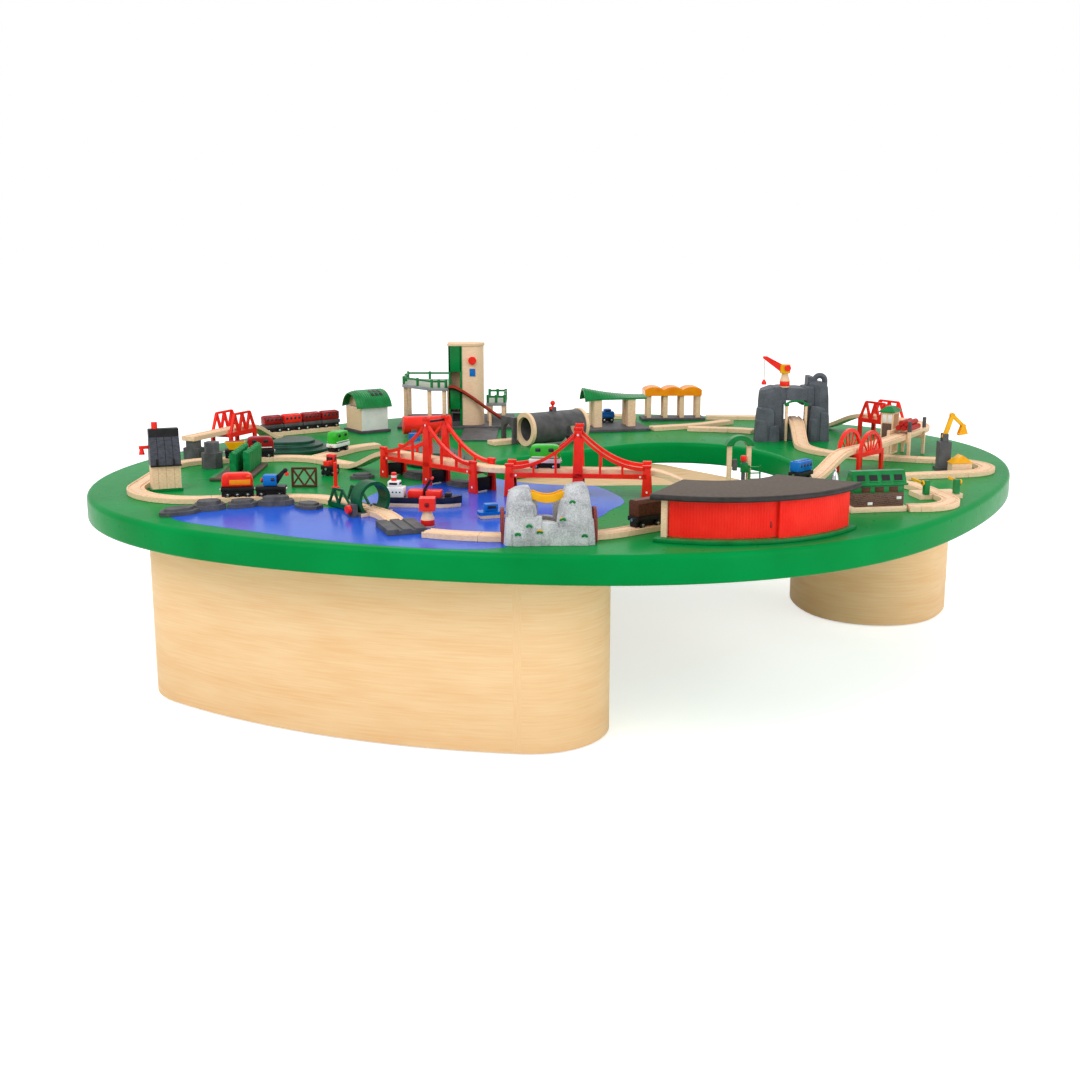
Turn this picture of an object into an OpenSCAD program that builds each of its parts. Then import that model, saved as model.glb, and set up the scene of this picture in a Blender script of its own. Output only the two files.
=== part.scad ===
// Train table: a green ring-shaped top on three oval pedestals, with a wooden toy railway scene fixed on it.
// Units are millimetres, +Z is up, the floor is at Z = 0 and the origin is under the middle of the top.

/* [Table] */
// Height of the table top above the floor
table_h = 440; // [400:5:600]
// Thickness of the green top
top_t = 60; // [40:1:80]
// Mean radius of the top
top_r0 = 1085; // [900:1:1200]
// How oval the top is
top_oval = 0.063; // [0:0.001:0.12]
// How square the top is
top_square = 0.034; // [0:0.001:0.05]
// Direction of the long axis of the top, in degrees
top_turn = 23; // [0:1:90]
// Rounding of the upper edge of the top
edge_r = 12; // [4:1:20]
// Depth of the inlaid lake
lake_t = 2; // [1:0.5:4]

/* [Opening] */
// Mean radius of the opening in the top
hole_r0 = 359; // [250:1:420]
// How oval the opening is
hole_oval = 0.137; // [0:0.001:0.2]
// How three-sided the opening is
hole_tri = 0.1; // [0:0.01:0.15]

/* [Pedestals] */
// Thickness of the laminate boards
board_t = 18; // [12:1:25]
// Radius of the pedestal ends seen from above
oval_end_r = 165; // [120:1:190]
// Half width of the pedestals
oval_half_w = 214; // [200:1:240]
// Height of the levelling feet
foot_h = 8; // [4:1:15]

/* [Railway] */
// Width of the wooden track
track_w = 40; // [38:1:42]
// Height of the wooden track
track_h = 12; // [10:0.5:14]
// Width of each wheel groove
groove_w = 7; // [6:0.5:8]
// Depth of each wheel groove
groove_d = 3; // [2:0.5:4]
// Distance between the wheel grooves
gauge = 26; // [24:1:28]
// Gap between neighbouring pieces of track
joint_gap = 0.5; // [0.2:0.1:1]
// Height of the raised decks above the table
deck_h = 62; // [55:1:75]
// Radius of the train wheels
wheel_r = 7; // [6:0.5:8]

/* [Clearances] */
// Gap between pieces that stand against each other
seat_gap = 0.2; // [0.1:0.05:0.5]
// Gap round a turning pin
pin_gap = 0.06; // [0.02:0.01:0.1]
// Gap between moving pieces and their neighbours
move_gap = 0.6; // [0.4:0.1:1]

/* [Node] */
// Piece to draw

/* [Hidden] */
$fn = 48;
top_points = 144;
arc_steps = 18;
hole_at = [212, 2];
hole_turn = 21.6;
hole_turn3 = -42.2;
lake_ctrl = [
    [-850, -690], [-750, -585], [-640, -530], [-500, -580], [-435, -375], [-250, -235], [-60, -195], [60, -330],
    [112, -500], [75, -610], [35, -710], [-110, -935], [-225, -985], [-440, -930], [-660, -820]
];
hill_left_ctrl = [[-850, 150], [-760, 130], [-680, 160], [-652, 240], [-700, 325], [-785, 335], [-825, 260]];
hill_mid_ctrl = [
    [-480, 120], [-455, 30], [-385, -70], [-300, -88], [-250, -70], [-262, 90], [-335, 205],
    [-400, 285], [-465, 225]
];
shelf_points = [
    [-300, -345], [440, -380], [470, 20], [455, 110], [365, 225], [277, 345], [180, 410],
    [-60, 390], [-280, 150]
];
// Places on the table: x, y, heading
bridge_1_at = [-321.5, -282.4, -43];
bridge_2_at = [12, -430.8, -5];
truss_left_at = [-913.65, 242.7, 66];
truss_right_at = [913.8, 471.4, 126];
arch_at = [723.1, -103.6, 48];
bascule_at = [-454, -623.5, -50];
mill_at = [-944, -365, 21];
station_at = [-592, 599, 36];
platform_at = [645, -612, 10];
garage_at = [-330, 690, 0];
canopy_at = [145, 660, 12];
orange_at = [345, 862, 4];
tank_at = [-405, 492, 14];
log_at = [-40, 352, 34];
arch_grey_at = [-163, 352, 34];
shed_at = [283, -622, 0];
gantry_at = [382, -383, 98];
lattice_at = [-628, -332, 0];
pier_at = [899.7, 135.3, 56];
crossing_at = [819.2, -453.2, 100];
digger_at = [936, -92, 0];
hut_at = [968, -128, 8];
mountain_at = [645, 430, 0];
peaks_at = [-55, -903, 3];
hedge_at = [-820, -143, 90];
crane_at = [621, 425, 180];
harbour_at = [-304, -780, 0];
plate_switch_at = [-356, -808, -70];
freighter_at = [-333, -562, -7];
boat_at = [-168, -680, 20];
// The long bend that the cargo train runs on: where it starts, its first heading, its length and its radius
train_bend_from = [-802.2914, -519.4445];
train_bend_turn = 15;
train_bend_l = 199;
train_bend_r = 600;
train_bend_at = train_bend_from + train_bend_r * [sin(train_bend_turn), -cos(train_bend_turn)];
// Heading of the wagon, and of the engine that far ahead of it on the bend
wagon_heading = 2.6;
train_gap = 73.3;
engine_heading = wagon_heading + train_gap / train_bend_r * 180 / PI;
// Pedestals: x, y, heading, half length, half width, end radius
ped_front = [-442, -614, -22.4, 541, 218, oval_end_r];
ped_right = [852, 292, 80, 285, oval_half_w, 190];
ped_rear = [-430, 700, 30, 400, oval_half_w, oval_end_r];
peds = [ped_front, ped_right, ped_rear];
under_z = table_h - top_t;
bolt_r = 4;
bolt_into = 30;
deck_z = deck_h - track_h;
shed_h = 83;
shed_r_out = 320;
shed_r_in = 196;
shed_a0 = 247;
shed_a1 = 326;
shed_split = 289;
plinth_h = 8;
station_eave = 76;
canopy_eave = 90;
hinge_z = 7;
hinge_r = 3;
knob_z = 16;
knob_shaft_r = 3;
shaft_x = -15;
shaft_w = 32;
lift_knob_x = 51;
lift_knob_z = 204;
lever_z = 98.5;
lever_pin_r = 2.5;
gate_z = 26;
gate_pin_r = 2.5;
boom_z = 84;
boom_pin_r = 2.5;
bucket_pin = [44, 112];
swivel_r = 4;
crane_foot_z = 150;
crane_foot_h = 40;
harbour_foot_h = 34;
boom_tip_x = 59;
boom_tip_z = 238;
string_top = 227;
hook_z = 158;
hook_h = 14;
winch_at = [-4, 206];
winch_shaft_r = 2.5;
wheel_lift = 0.3;
axle_z = track_h - groove_d + wheel_r + wheel_lift;
axle_r = 2;
floor_z = axle_z + 18;
engine_axles = [-22, 0, 22];
wagon_axles = [-20, 20];
metro_at = [-884, 474, 38];
bridge_2_engine = [-63.7, -424.2, -5];
branch_at = [-656, 54, 66];
branch_engine_s = 100;
canopy_car = [131, 738, 10];
blue_crate_at = [-432, 372, 20];
tractor_at = [-592, -168, 250];
signal_at = [-552, -352, 0];

// Outlines
function top_r(a) = top_r0 * (1 + top_oval * cos(2 * (a - top_turn)) + top_square * cos(4 * (a - top_turn)));
function hole_r(a) =
    hole_r0 * (1 + hole_oval * cos(2 * (a - hole_turn)) + hole_tri * cos(3 * (a - hole_turn3)));
function turn_of(i) = i * 360 / top_points;
function top_outline(inset) = [
    for (i = [0 : top_points - 1]) (top_r(turn_of(i)) - inset) * [cos(turn_of(i)), sin(turn_of(i))]
];
function hole_outline(extra) = [
    for (i = [0 : top_points - 1]) hole_at + (hole_r(turn_of(i)) + extra) * [cos(turn_of(i)), sin(turn_of(i))]
];
function blend(p, q, r, s, t) =
    0.5 * (2 * q + (r - p) * t + (2 * p - 5 * q + 4 * r - s) * t * t + (3 * q - p - 3 * r + s) * t * t * t);
function smooth(pts, steps) = [
    for (i = [0 : len(pts) - 1], k = [0 : steps - 1])
        let (n = len(pts))
            blend(pts[(i + n - 1) % n], pts[i], pts[(i + 1) % n], pts[(i + 2) % n], k / steps)
];
function middle(pts, i = 0) = i == len(pts) ? [0, 0] : pts[i] / len(pts) + middle(pts, i + 1);

// Place at a length along a straight that starts at a place
function along(place, s) = [place[0] + s * cos(place[2]), place[1] + s * sin(place[2]), place[2]];
function metro_spot(s) = along(metro_at, s);

// Moves a toy to its place on the table
module put(place, z = 0) {
    translate([place[0], place[1], table_h + z])
        rotate([0, 0, place[2]])
            children();
}

// A box from its low corner, centred across Y
module slab(x, len, w, z, h) {
    translate([x, -w / 2, z])
        cube([len, w, h]);
}

// A flat bar between two points of a drawing
module bar(p, q, w) {
    translate(p)
        rotate(atan2(q[1] - p[1], q[0] - p[0]))
            translate([0, -w / 2])
                square([norm(q - p), w]);
}

// Stands a drawing of length and height up, from y to y plus w
module upright(y, w) {
    translate([0, y + w, 0])
        rotate([90, 0, 0])
            linear_extrude(w)
                children();
}

// A cylinder along Y from y to y plus w
module across(x, y, z, r, w) {
    translate([x, y + w, z])
        rotate([90, 0, 0])
            cylinder(r = r, h = w);
}

// Four-arc oval of a pedestal, drawn inset from its outside:
// two end arcs and two flatter side arcs that meet smoothly
function arc_points(mid, r, from, to) = [
    for (k = [0 : arc_steps - 1])
        let (a = from + (to - from) * k / arc_steps)
            mid + r * [cos(a), sin(a)]
];
function oval_points(ped, inset) =
    let (
        end_r = ped[5],
        reach = ped[3] - end_r,
        side_r = (reach * reach + ped[4] * ped[4] - end_r * end_r) / (2 * (ped[4] - end_r)),
        side_c = side_r - ped[4],
        meet = atan2(side_c, reach)
    )
        concat(
            arc_points([reach, 0], end_r - inset, -meet, meet),
            arc_points([0, -side_c], side_r - inset, meet, 180 - meet),
            arc_points([-reach, 0], end_r - inset, 180 - meet, 180 + meet),
            arc_points([0, side_c], side_r - inset, 180 + meet, 360 - meet)
        );

module oval(ped, inset) {
    polygon(oval_points(ped, inset));
}

// Moves a drawing or solid to a pedestal
module at_ped(ped, z) {
    translate([ped[0], ped[1], z])
        rotate([0, 0, ped[2]])
            children();
}

function bolt_places(ped) =
    [for (sx = [-1, 1], sy = [-1, 1]) [sx * (ped[3] - ped[5]) * 0.8, sy * ped[4] * 0.6]];

// Ring top with its stepped round edge, lake pocket and bolt holes
module table_top() {
    steps = 3;
    color("green")
        difference() {
            union() {
                translate([0, 0, under_z])
                    linear_extrude(edge_r / 2)
                        difference() {
                            polygon(top_outline(edge_r / 4));
                            polygon(hole_outline(edge_r / 4));
                        }
                translate([0, 0, under_z + edge_r / 2])
                    linear_extrude(top_t - edge_r * 1.5)
                        difference() {
                            polygon(top_outline(0));
                            polygon(hole_outline(0));
                        }
                for (k = [0 : steps - 1])
                    translate([0, 0, table_h - edge_r + k * edge_r / steps])
                        linear_extrude(edge_r / steps)
                            difference() {
                                polygon(top_outline(edge_r * (1 - cos(asin((k + 0.5) / steps)))));
                                polygon(hole_outline(edge_r * (1 - cos(asin((k + 0.5) / steps)))));
                            }
            }
            translate([0, 0, table_h - lake_t])
                linear_extrude(lake_t + 1)
                    lake_outline();
            for (ped = peds, b = bolt_places(ped))
                at_ped(ped, under_z - 1)
                    translate(b)
                        cylinder(r = bolt_r + seat_gap, h = bolt_into + 2);
        }
}

module lake_outline() {
    difference() {
        polygon(smooth(lake_ctrl, 6));
        polygon(hole_outline(edge_r + 4));
    }
}

// Blue sheet that lies flush in the top
module lake_panel() {
    color("royalblue")
        translate([0, 0, table_h - lake_t])
            linear_extrude(lake_t)
                lake_outline();
}

// Hollow laminate pedestal
module pedestal(ped) {
    color("burlywood")
        at_ped(ped, foot_h / 2)
            linear_extrude(under_z - foot_h / 2)
                difference() {
                    oval(ped, 0);
                    oval(ped, board_t);
                }
}

module pedestal_front() {
    pedestal(ped_front);
}

module pedestal_right() {
    pedestal(ped_right);
}

module pedestal_rear() {
    pedestal(ped_rear);
}

// Top plate, base plate and two cross ribs inside each pedestal
module pedestal_frames() {
    rib_h = under_z - foot_h - 2 * board_t - 2 * seat_gap;
    color("tan")
        for (ped = peds) {
            at_ped(ped, under_z - board_t)
                linear_extrude(board_t)
                    difference() {
                        oval(ped, board_t + seat_gap);
                        for (b = bolt_places(ped))
                            translate(b)
                                circle(bolt_r + seat_gap);
                    }
            at_ped(ped, foot_h)
                linear_extrude(board_t)
                    oval(ped, board_t + seat_gap);
            for (side = [-1, 1])
                at_ped(ped, foot_h + board_t + seat_gap)
                    translate([side * (ped[3] - ped[5]) * 0.45, 0, rib_h / 2])
                        cube([board_t, 1.7 * (ped[4] - board_t), rib_h], center = true);
        }
}

// Round feet under the base plates, and bolts from the top plates into the top
module pedestal_fixings() {
    head_h = 6;
    color("silver")
        for (ped = peds, b = bolt_places(ped)) {
            at_ped(ped, 0)
                translate(b)
                    cylinder(r = 25, h = foot_h - seat_gap);
            at_ped(ped, under_z - board_t - head_h - seat_gap)
                translate(b) {
                    cylinder(r = 2 * bolt_r, h = head_h, $fn = 6);
                    cylinder(r = bolt_r, h = head_h + board_t + bolt_into);
                }
        }
}

// Laminate board under the opening
module under_shelf() {
    color("tan")
        translate([0, 0, under_z - board_t])
            linear_extrude(board_t)
                polygon(shelf_points);
}

// Cross section of the track
module rail_section() {
    difference() {
        translate([-track_w / 2, 0])
            square([track_w, track_h]);
        for (side = [-1, 1])
            translate([side * gauge / 2 - groove_w / 2, track_h - groove_d])
                square([groove_w, groove_d + 1]);
    }
}

module straight(len) {
    rotate([90, 0, 90])
        linear_extrude(len - joint_gap)
            rail_section();
}

// A bend to the left
module bend(r, turn) {
    translate([0, r, 0])
        rotate([0, 0, -90])
            rotate_extrude(angle = turn - joint_gap * 57.3 / r, $fn = 96)
                translate([r, 0])
                    rail_section();
}

// A ramp of smooth slope that rises by rise over len
module ramp(len, rise) {
    count = 10;
    run_len = len - joint_gap;
    function ramp_z(i) = rise * (1 - cos(180 * i / count)) / 2;
    function ramp_band(low, high) = concat(
        [for (i = [0 : count]) [run_len * i / count, ramp_z(i) + low]],
        [for (i = [0 : count]) [run_len * (count - i) / count, ramp_z(count - i) + high]]
    );
    difference() {
        upright(-track_w / 2, track_w)
            polygon(ramp_band(0, track_h));
        for (side = [-1, 1])
            upright(side * gauge / 2 - groove_w / 2, groove_w)
                polygon(ramp_band(track_h - groove_d, track_h + 1));
    }
}

// A chain of pieces: "s" length, "l" or "r" radius and turn, "u" length and rise
module run(parts, i = 0) {
    if (i < len(parts)) {
        part = parts[i];
        if (part[0] == "s") {
            straight(part[1]);
            translate([part[1], 0, 0])
                run(parts, i + 1);
        }
        if (part[0] == "l") {
            bend(part[1], part[2]);
            translate([part[1] * sin(part[2]), part[1] * (1 - cos(part[2])), 0])
                rotate([0, 0, part[2]])
                    run(parts, i + 1);
        }
        if (part[0] == "r") {
            mirror([0, 1, 0])
                bend(part[1], part[2]);
            translate([part[1] * sin(part[2]), -part[1] * (1 - cos(part[2])), 0])
                rotate([0, 0, -part[2]])
                    run(parts, i + 1);
        }
        if (part[0] == "u") {
            ramp(part[1], part[2]);
            translate([part[1], 0, part[2]])
                run(parts, i + 1);
        }
    }
}

// Track that lies on the table
module ground_track() {
    bend_sweep = train_bend_l / train_bend_r * 180 / PI;
    color("wheat") {
        put([-1010, -110, 270])
            run([["s", 125], ["s", 125], ["l", 165, 52], ["l", 165, 53], ["r", train_bend_r, bend_sweep],
                ["r", 120, 65 - bend_sweep]]);
        put([-1010, -109.5, 90])
            run([["r", 130, 77], ["s", 140], ["r", 150, 56], ["s", 105]]);
        put(branch_at)
            run([["s", 75], ["s", 75], ["r", 182, 35]]);
        put([-420, -664, -50])
            run([["r", 182, 20], ["s", 42]]);
        put([-300, -868, -25])
            run([["l", 430, 15], ["l", 430, 16], ["s", 60], ["l", 200, 32], ["s", 108],
                ["r", 300, 25], ["l", 140, 60],
                ["s", 100], ["s", 104], ["r", 300, 25], ["s", 70]]);
        put([716, -612, 0])
            run([["s", 24], ["l", 90, 100], ["s", 108], ["l", 182, 40]]);
        put([790, -228, 22])
            run([["r", 400, 10], ["s", 110], ["l", 100, 79], ["l", 100, 79]]);
        put([647.5, 263, -92])
            run([["l", 182, 35], ["l", 182, 35], ["s", 76], ["s", 76], ["l", 182, 12], ["s", 16]]);
        put(along(arch_grey_at, -60))
            run([["s", 88]]);
        put([260, 609, 22])
            run([["s", 110], ["l", 300, 20], ["s", 80]]);
        put([368, 606, -12])
            run([["s", 120], ["r", 182, 25]]);
        put([30, 880, 0])
            run([["s", 100], ["s", 100]]);
        put([452, 866, -5])
            run([["s", 100], ["s", 95]]);
        put([773.5, 664.5, 126])
            run([["s", 100]]);
        put(metro_spot(0))
            run([["s", 130], ["s", 120]]);
    }
}

// Ramps and decks of the raised line
module raised_track() {
    color("wheat") {
        put([-560, -59.9, -43])
            run([["u", 171, deck_z]]);
        put(bridge_1_at, deck_z)
            translate([-155, 0, 0])
                run([["s", 155], ["s", 155], ["l", 110, 38]]);
        put(bridge_2_at, deck_z)
            translate([-155, 0, 0])
                run([["s", 155], ["s", 155], ["u", 170, -deck_z]]);
        put([-995, 60, 66], deck_z)
            run([["s", 140], ["s", 120], ["u", 145, -deck_z]]);
        put([564.2, -280, 48])
            run([["u", 175, deck_z]]);
        put(arch_at, deck_z)
            translate([-62, 0, 0])
                run([["s", 124], ["l", 420, 8], ["s", 82], ["s", 190], ["l", 182, 70], ["s", 120],
                    ["u", 178, -deck_z]]);
        put([655, 478, -92], deck_z)
            run([["s", 75.5], ["u", 139, -deck_z]]);
    }
}

// Grey plates under the buildings and the switch plate in the lake
module grey_plates() {
    plate_h = 8;
    color("dimgray") {
        put(garage_at)
            translate([-176, -55, 0])
                cube([348, 300, plate_h]);
        put(garage_at)
            translate([25, -300, 0])
                cube([105, 244, plate_h / 2]);
        put(canopy_at)
            translate([-95, -85, 0])
                cube([190, 190, plate_h]);
        put(orange_at)
            translate([-102, -38, 0])
                cube([200, 76, plate_h]);
        put(station_at)
            slab(-50, 100, 108, 0, plate_h);
        put(plate_switch_at)
            difference() {
                translate([-52, -40, 0])
                    cube([104, 80, track_h]);
                translate([-60, 0, 0])
                    for (side = [-1, 1])
                        translate([0, side * gauge / 2 - groove_w / 2, track_h - groove_d])
                            cube([120, groove_w, groove_d + 1]);
            }
    }
}

// A flat stone with a smaller stone on it
module stone(w, d, h) {
    steps = [[-0.5, -0.2], [-0.3, -0.5], [0.25, -0.5], [0.5, -0.15], [0.42, 0.35], [0.1, 0.5], [-0.35, 0.42]];
    linear_extrude(h * 0.6)
        polygon([for (p = steps) [p[0] * w, p[1] * d]]);
    translate([0, 0, h * 0.6])
        linear_extrude(h * 0.4)
            polygon([for (p = steps) [p[0] * w * 0.72, p[1] * d * 0.72]]);
}

// Grey stones on the shore, under the first bridge and at the rear left
module shore_rocks() {
    color("slategray") {
        put([-845, -648, 35])
            stone(92, 52, 14);
        put([-792, -596, 20])
            stone(72, 56, 20);
        put([-726, -568, 30])
            stone(72, 46, 16);
        put([-655, -549, 8])
            stone(80, 44, 20);
        put([-578, -580, -40])
            stone(66, 48, 12);
        put([-374, -208, -43])
            stone(84, 46, 16);
        put([-262, -314, -43])
            stone(80, 46, 12);
        put([-508, -212, 10])
            stone(60, 40, 12);
        put([-986, 81, 66])
            stone(46, 52, deck_z);
        put([-905, -58, 0])
            stone(52, 46, 66);
    }
}

// Hills in three layers, and two hedges in a brown bed
module hills_and_hedges() {
    layer_h = 10;
    shrink = [1, 0.82, 0.6];
    hedges = [[-70, 160, 1], [-50, 155, -28]];
    bed_h = 8;
    color("darkgreen") {
        for (ctrl = [hill_left_ctrl, hill_mid_ctrl], k = [0 : len(shrink) - 1])
            translate([0, 0, table_h + k * layer_h])
                linear_extrude(layer_h)
                    translate(middle(ctrl))
                        scale(shrink[k])
                            translate(-middle(ctrl))
                                polygon(smooth(ctrl, 5));
        put(hedge_at)
            slab(-115, 230, 98, 0, bed_h);
        for (hedge = hedges)
            put(hedge_at, bed_h + seat_gap)
                translate([0, hedge[2], 0])
                    slab(hedge[0], hedge[1], 16, 0, 55);
    }
}

// Outline of a rough block of the given width and depth
function crag_shape(w, d) = [
    for (p = [[-0.5, -0.3], [-0.35, -0.5], [0.3, -0.5], [0.5, -0.25], [0.48, 0.3], [0.2, 0.5], [-0.4, 0.46]])
        [p[0] * w, p[1] * d]
];

module crag(x, y, w, d, z, h) {
    translate([x, y, z])
        linear_extrude(h)
            polygon(crag_shape(w, d));
}

// Doorway drawing with a round top
module doorway(half_w, post_h) {
    translate([-half_w, 0])
        square([2 * half_w, post_h]);
    translate([0, post_h])
        circle(half_w);
}

// Rock with two peaks, a tunnel along it and a brick portal at each end
module twin_peak_rock() {
    half_w = 29;
    mid_y = 4;
    ends = [-90, 82];
    portal_t = 7;
    color("gainsboro")
        put(peaks_at)
            difference() {
                union() {
                    linear_extrude(42)
                        polygon([[-90, -34], [-68, -54], [58, -54], [82, -34],
                            [82, 42], [58, 56], [-68, 56], [-90, 42]]);
                    crag(-62, 2, 56, 104, 42, 40);
                    crag(-66, 2, 40, 70, 82, 24);
                    crag(50, 2, 60, 104, 42, 40);
                    crag(54, 2, 44, 74, 82, 30);
                }
                translate([ends[0] - 1, mid_y, -1])
                    rotate([90, 0, 90])
                        linear_extrude(ends[1] - ends[0] + 2)
                            doorway(half_w, half_w + 1);
            }
    color("firebrick")
        for (x = [ends[0] - portal_t - seat_gap, ends[1] + seat_gap])
            put(peaks_at)
                translate([x, mid_y, 0])
                    rotate([90, 0, 90])
                        linear_extrude(portal_t)
                            difference() {
                                doorway(half_w + portal_t, half_w);
                                translate([0, -1])
                                    doorway(half_w, half_w + 1);
                                translate([-2 * half_w, -half_w])
                                    square([4 * half_w, half_w]);
                            }
}

// Rope bridge that hangs between the two peaks
module rope_bridge() {
    reach = 26;
    seat_l = 10;
    sag = 7;
    thick = 3;
    rail_h = 12;
    count = 8;
    function sag_z(i) = -sag * (1 - pow(2 * i / count - 1, 2));
    function rope_band(high) = concat(
        [[-reach - seat_l, high], [-reach - seat_l, 0]],
        [for (i = [0 : count]) [reach * (2 * i / count - 1), sag_z(i)]],
        [[reach + seat_l, 0], [reach + seat_l, high]],
        [for (i = [0 : count]) [reach * (1 - 2 * i / count), sag_z(i) + high]]
    );
    color("gold")
        put(peaks_at, 82 + seat_gap)
            translate([-7, 0, 0]) {
                upright(-13, 26)
                    polygon(rope_band(thick));
                for (y = [-13, 10])
                    upright(y, 3)
                        polygon(rope_band(thick + rail_h));
            }
}

// Dark rock with a passage for the raised line and a timber frame in its mouth
module grey_mountain() {
    floor_y = -27;
    color("dimgray")
        put(mountain_at)
            difference() {
                union() {
                    crag(-78, -13, 66, 66, 0, 95);
                    crag(-58, 25, 74, 110, 0, 150);
                    crag(68, -13, 56, 66, 0, 100);
                    crag(78, 35, 66, 110, 0, 165);
                    crag(80, 38, 44, 70, 165, 23);
                    translate([-60, floor_y, 0])
                        cube([120, 100, deck_z]);
                    translate([-60, floor_y, 112])
                        cube([120, 95, 38]);
                }
                across(80, -60, 138, 13, 200);
            }
    color("burlywood")
        put(mountain_at)
            upright(floor_y - 12 - seat_gap, 12)
                difference() {
                    translate([-24, 0])
                        square([62, 112]);
                    translate([-17, -1])
                        square([48, 101]);
                }
}

// Side wall of a suspension bridge, drawn in length and height
module bridge_side() {
    half_l = 155;
    tower_h = 160;
    post_h = 74;
    cable_w = 9;
    hanger_w = 4;
    count = 6;
    function cable(i, drop) =
        [150 * i / count, post_h - 4 - drop + (tower_h - post_h - 6) * pow(1 - i / count, 2)];
    translate([-half_l, 44])
        square([2 * half_l, 10]);
    translate([-9, 0])
        square([18, tower_h]);
    for (side = [0, 1])
        mirror([side, 0]) {
            translate([half_l - 8, 0])
                square([16, post_h]);
            polygon(concat(
                [for (i = [0 : count]) cable(i, cable_w)],
                [for (i = [count : -1 : 0]) cable(i, 0)]));
            for (i = [2, 4])
                translate([cable(i, 0)[0] - hanger_w / 2, 48])
                    square([hanger_w, cable(i, cable_w / 2)[1] - 48]);
        }
}

// Red suspension bridges with black braces at their feet
module suspension_bridges() {
    inner = 26;
    side_t = 8;
    brace_t = 6;
    for (place = [bridge_1_at, bridge_2_at])
        put(place) {
            color("red") {
                for (y = [-inner - side_t, inner])
                    upright(y, side_t)
                        bridge_side();
                for (x = [-153, -8, 137])
                    slab(x, 16, 2 * inner + 1, 42, deck_z - 42);
            }
            color("black")
                for (x = [-155, 0, 155], y = [-inner - side_t - brace_t - seat_gap, inner + side_t + seat_gap])
                    translate([x - 14, y, 0])
                        cube([28, brace_t, 30]);
        }
}

// Legs, beam and cross beams that a small bridge stands on
module bridge_trestle(half_l) {
    inner = 26;
    side_t = 7;
    leg_w = 12;
    for (y = [-inner - side_t, inner], x = [-half_l, half_l - leg_w])
        translate([x, y, 0])
            cube([leg_w, side_t, 44]);
    for (y = [-inner - side_t, inner])
        translate([-half_l, y, 42])
            cube([2 * half_l, side_t, 12]);
    for (x = [-half_l, half_l - leg_w])
        slab(x, leg_w, 2 * inner + 1, 42, deck_z - 42);
    for (y = [-inner - side_t, inner])
        upright(y, side_t)
            children();
}

// Two truss bridges and an arch bridge
module truss_bridges() {
    bar_w = 6;
    color("red")
        for (place = [truss_left_at, truss_right_at])
            put(place)
                bridge_trestle(60)
                    for (side = [0, 1])
                        mirror([side, 0]) {
                            bar([-56, 50], [-34, 102], bar_w);
                            bar([-34, 102], [2, 102], bar_w);
                            bar([-34, 102], [-17, 50], bar_w);
                            bar([-17, 50], [0, 102], bar_w);
                        }
    color("red")
        put(arch_at)
            bridge_trestle(62)
                difference() {
                    translate([0, 50])
                        circle(54);
                    translate([0, 50])
                        circle(45);
                    translate([-60, -20])
                        square([120, 64]);
                }
}

// Fixed end of the lifting bridge: stone slab, deck, drum and hinge posts
module bascule_base() {
    deck = [7, 45];
    slab_w = 80;
    drum_out = 39;
    drum_in = 32;
    drum_z = 32;
    color("slategray")
        put(bascule_at)
            difference() {
                union() {
                    translate([deck[0], 0, 0])
                        straight(deck[1] + joint_gap);
                    for (side = [-1, 1])
                        translate([deck[0], side == 1 ? track_w / 2 : -slab_w / 2, 0])
                            cube([deck[1], (slab_w - track_w) / 2, plinth_h]);
                    for (side = [0, 1])
                        mirror([0, side, 0]) {
                            translate([-8, 27, 0])
                                cube([16, 13, plinth_h]);
                            translate([-6, 27, 0])
                                cube([12, 6, 14]);
                            across(0, 20.5, hinge_z, hinge_r, 8);
                        }
                    translate([20, -52, 0])
                        cube([20, 12.5, 26]);
                }
                across(30, -53, knob_z, knob_shaft_r + pin_gap, 10);
            }
    color("darkgreen")
        put(bascule_at)
            intersection() {
                translate([10, 0, drum_z])
                    rotate([0, 90, 0])
                        difference() {
                            cylinder(r = drum_out, h = 36);
                            translate([0, 0, -1])
                                cylinder(r = drum_in, h = 38);
                        }
                translate([0, -50, plinth_h + seat_gap])
                    cube([60, 100, 100]);
            }
}

// Lifting deck with its side trusses
module bascule_leaf() {
    leaf_l = 103.5;
    side_in = 21;
    side_t = 4;
    bar_w = 5;
    color("darkgreen")
        put(bascule_at) {
            difference() {
                slab(-leaf_l, leaf_l - 4, 2 * side_in + 1, 2, track_h - 2);
                for (side = [-1, 1])
                    translate([-leaf_l - 1, side * gauge / 2 - groove_w / 2, track_h - groove_d])
                        cube([leaf_l + 2, groove_w, groove_d + 1]);
            }
            for (y = [-side_in - side_t, side_in])
                upright(y, side_t)
                    difference() {
                        union() {
                            translate([-leaf_l, 2])
                                square([leaf_l, track_h - 2]);
                            translate([0, hinge_z])
                                circle(6);
                            bar([-98, 10], [-80, 42], bar_w);
                            bar([-80, 42], [-45, 42], bar_w);
                            bar([-45, 42], [-12, 10], bar_w);
                            bar([-80, 42], [-62, 10], bar_w);
                            bar([-62, 10], [-45, 42], bar_w);
                        }
                        translate([0, hinge_z])
                            circle(hinge_r + pin_gap);
                    }
        }
}

// Turning knob of the lifting bridge
module bascule_knob() {
    color("red")
        put(bascule_at) {
            across(30, -61, knob_z, 9, 8);
            across(30, -53.5, knob_z, knob_shaft_r, 9);
        }
}

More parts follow.
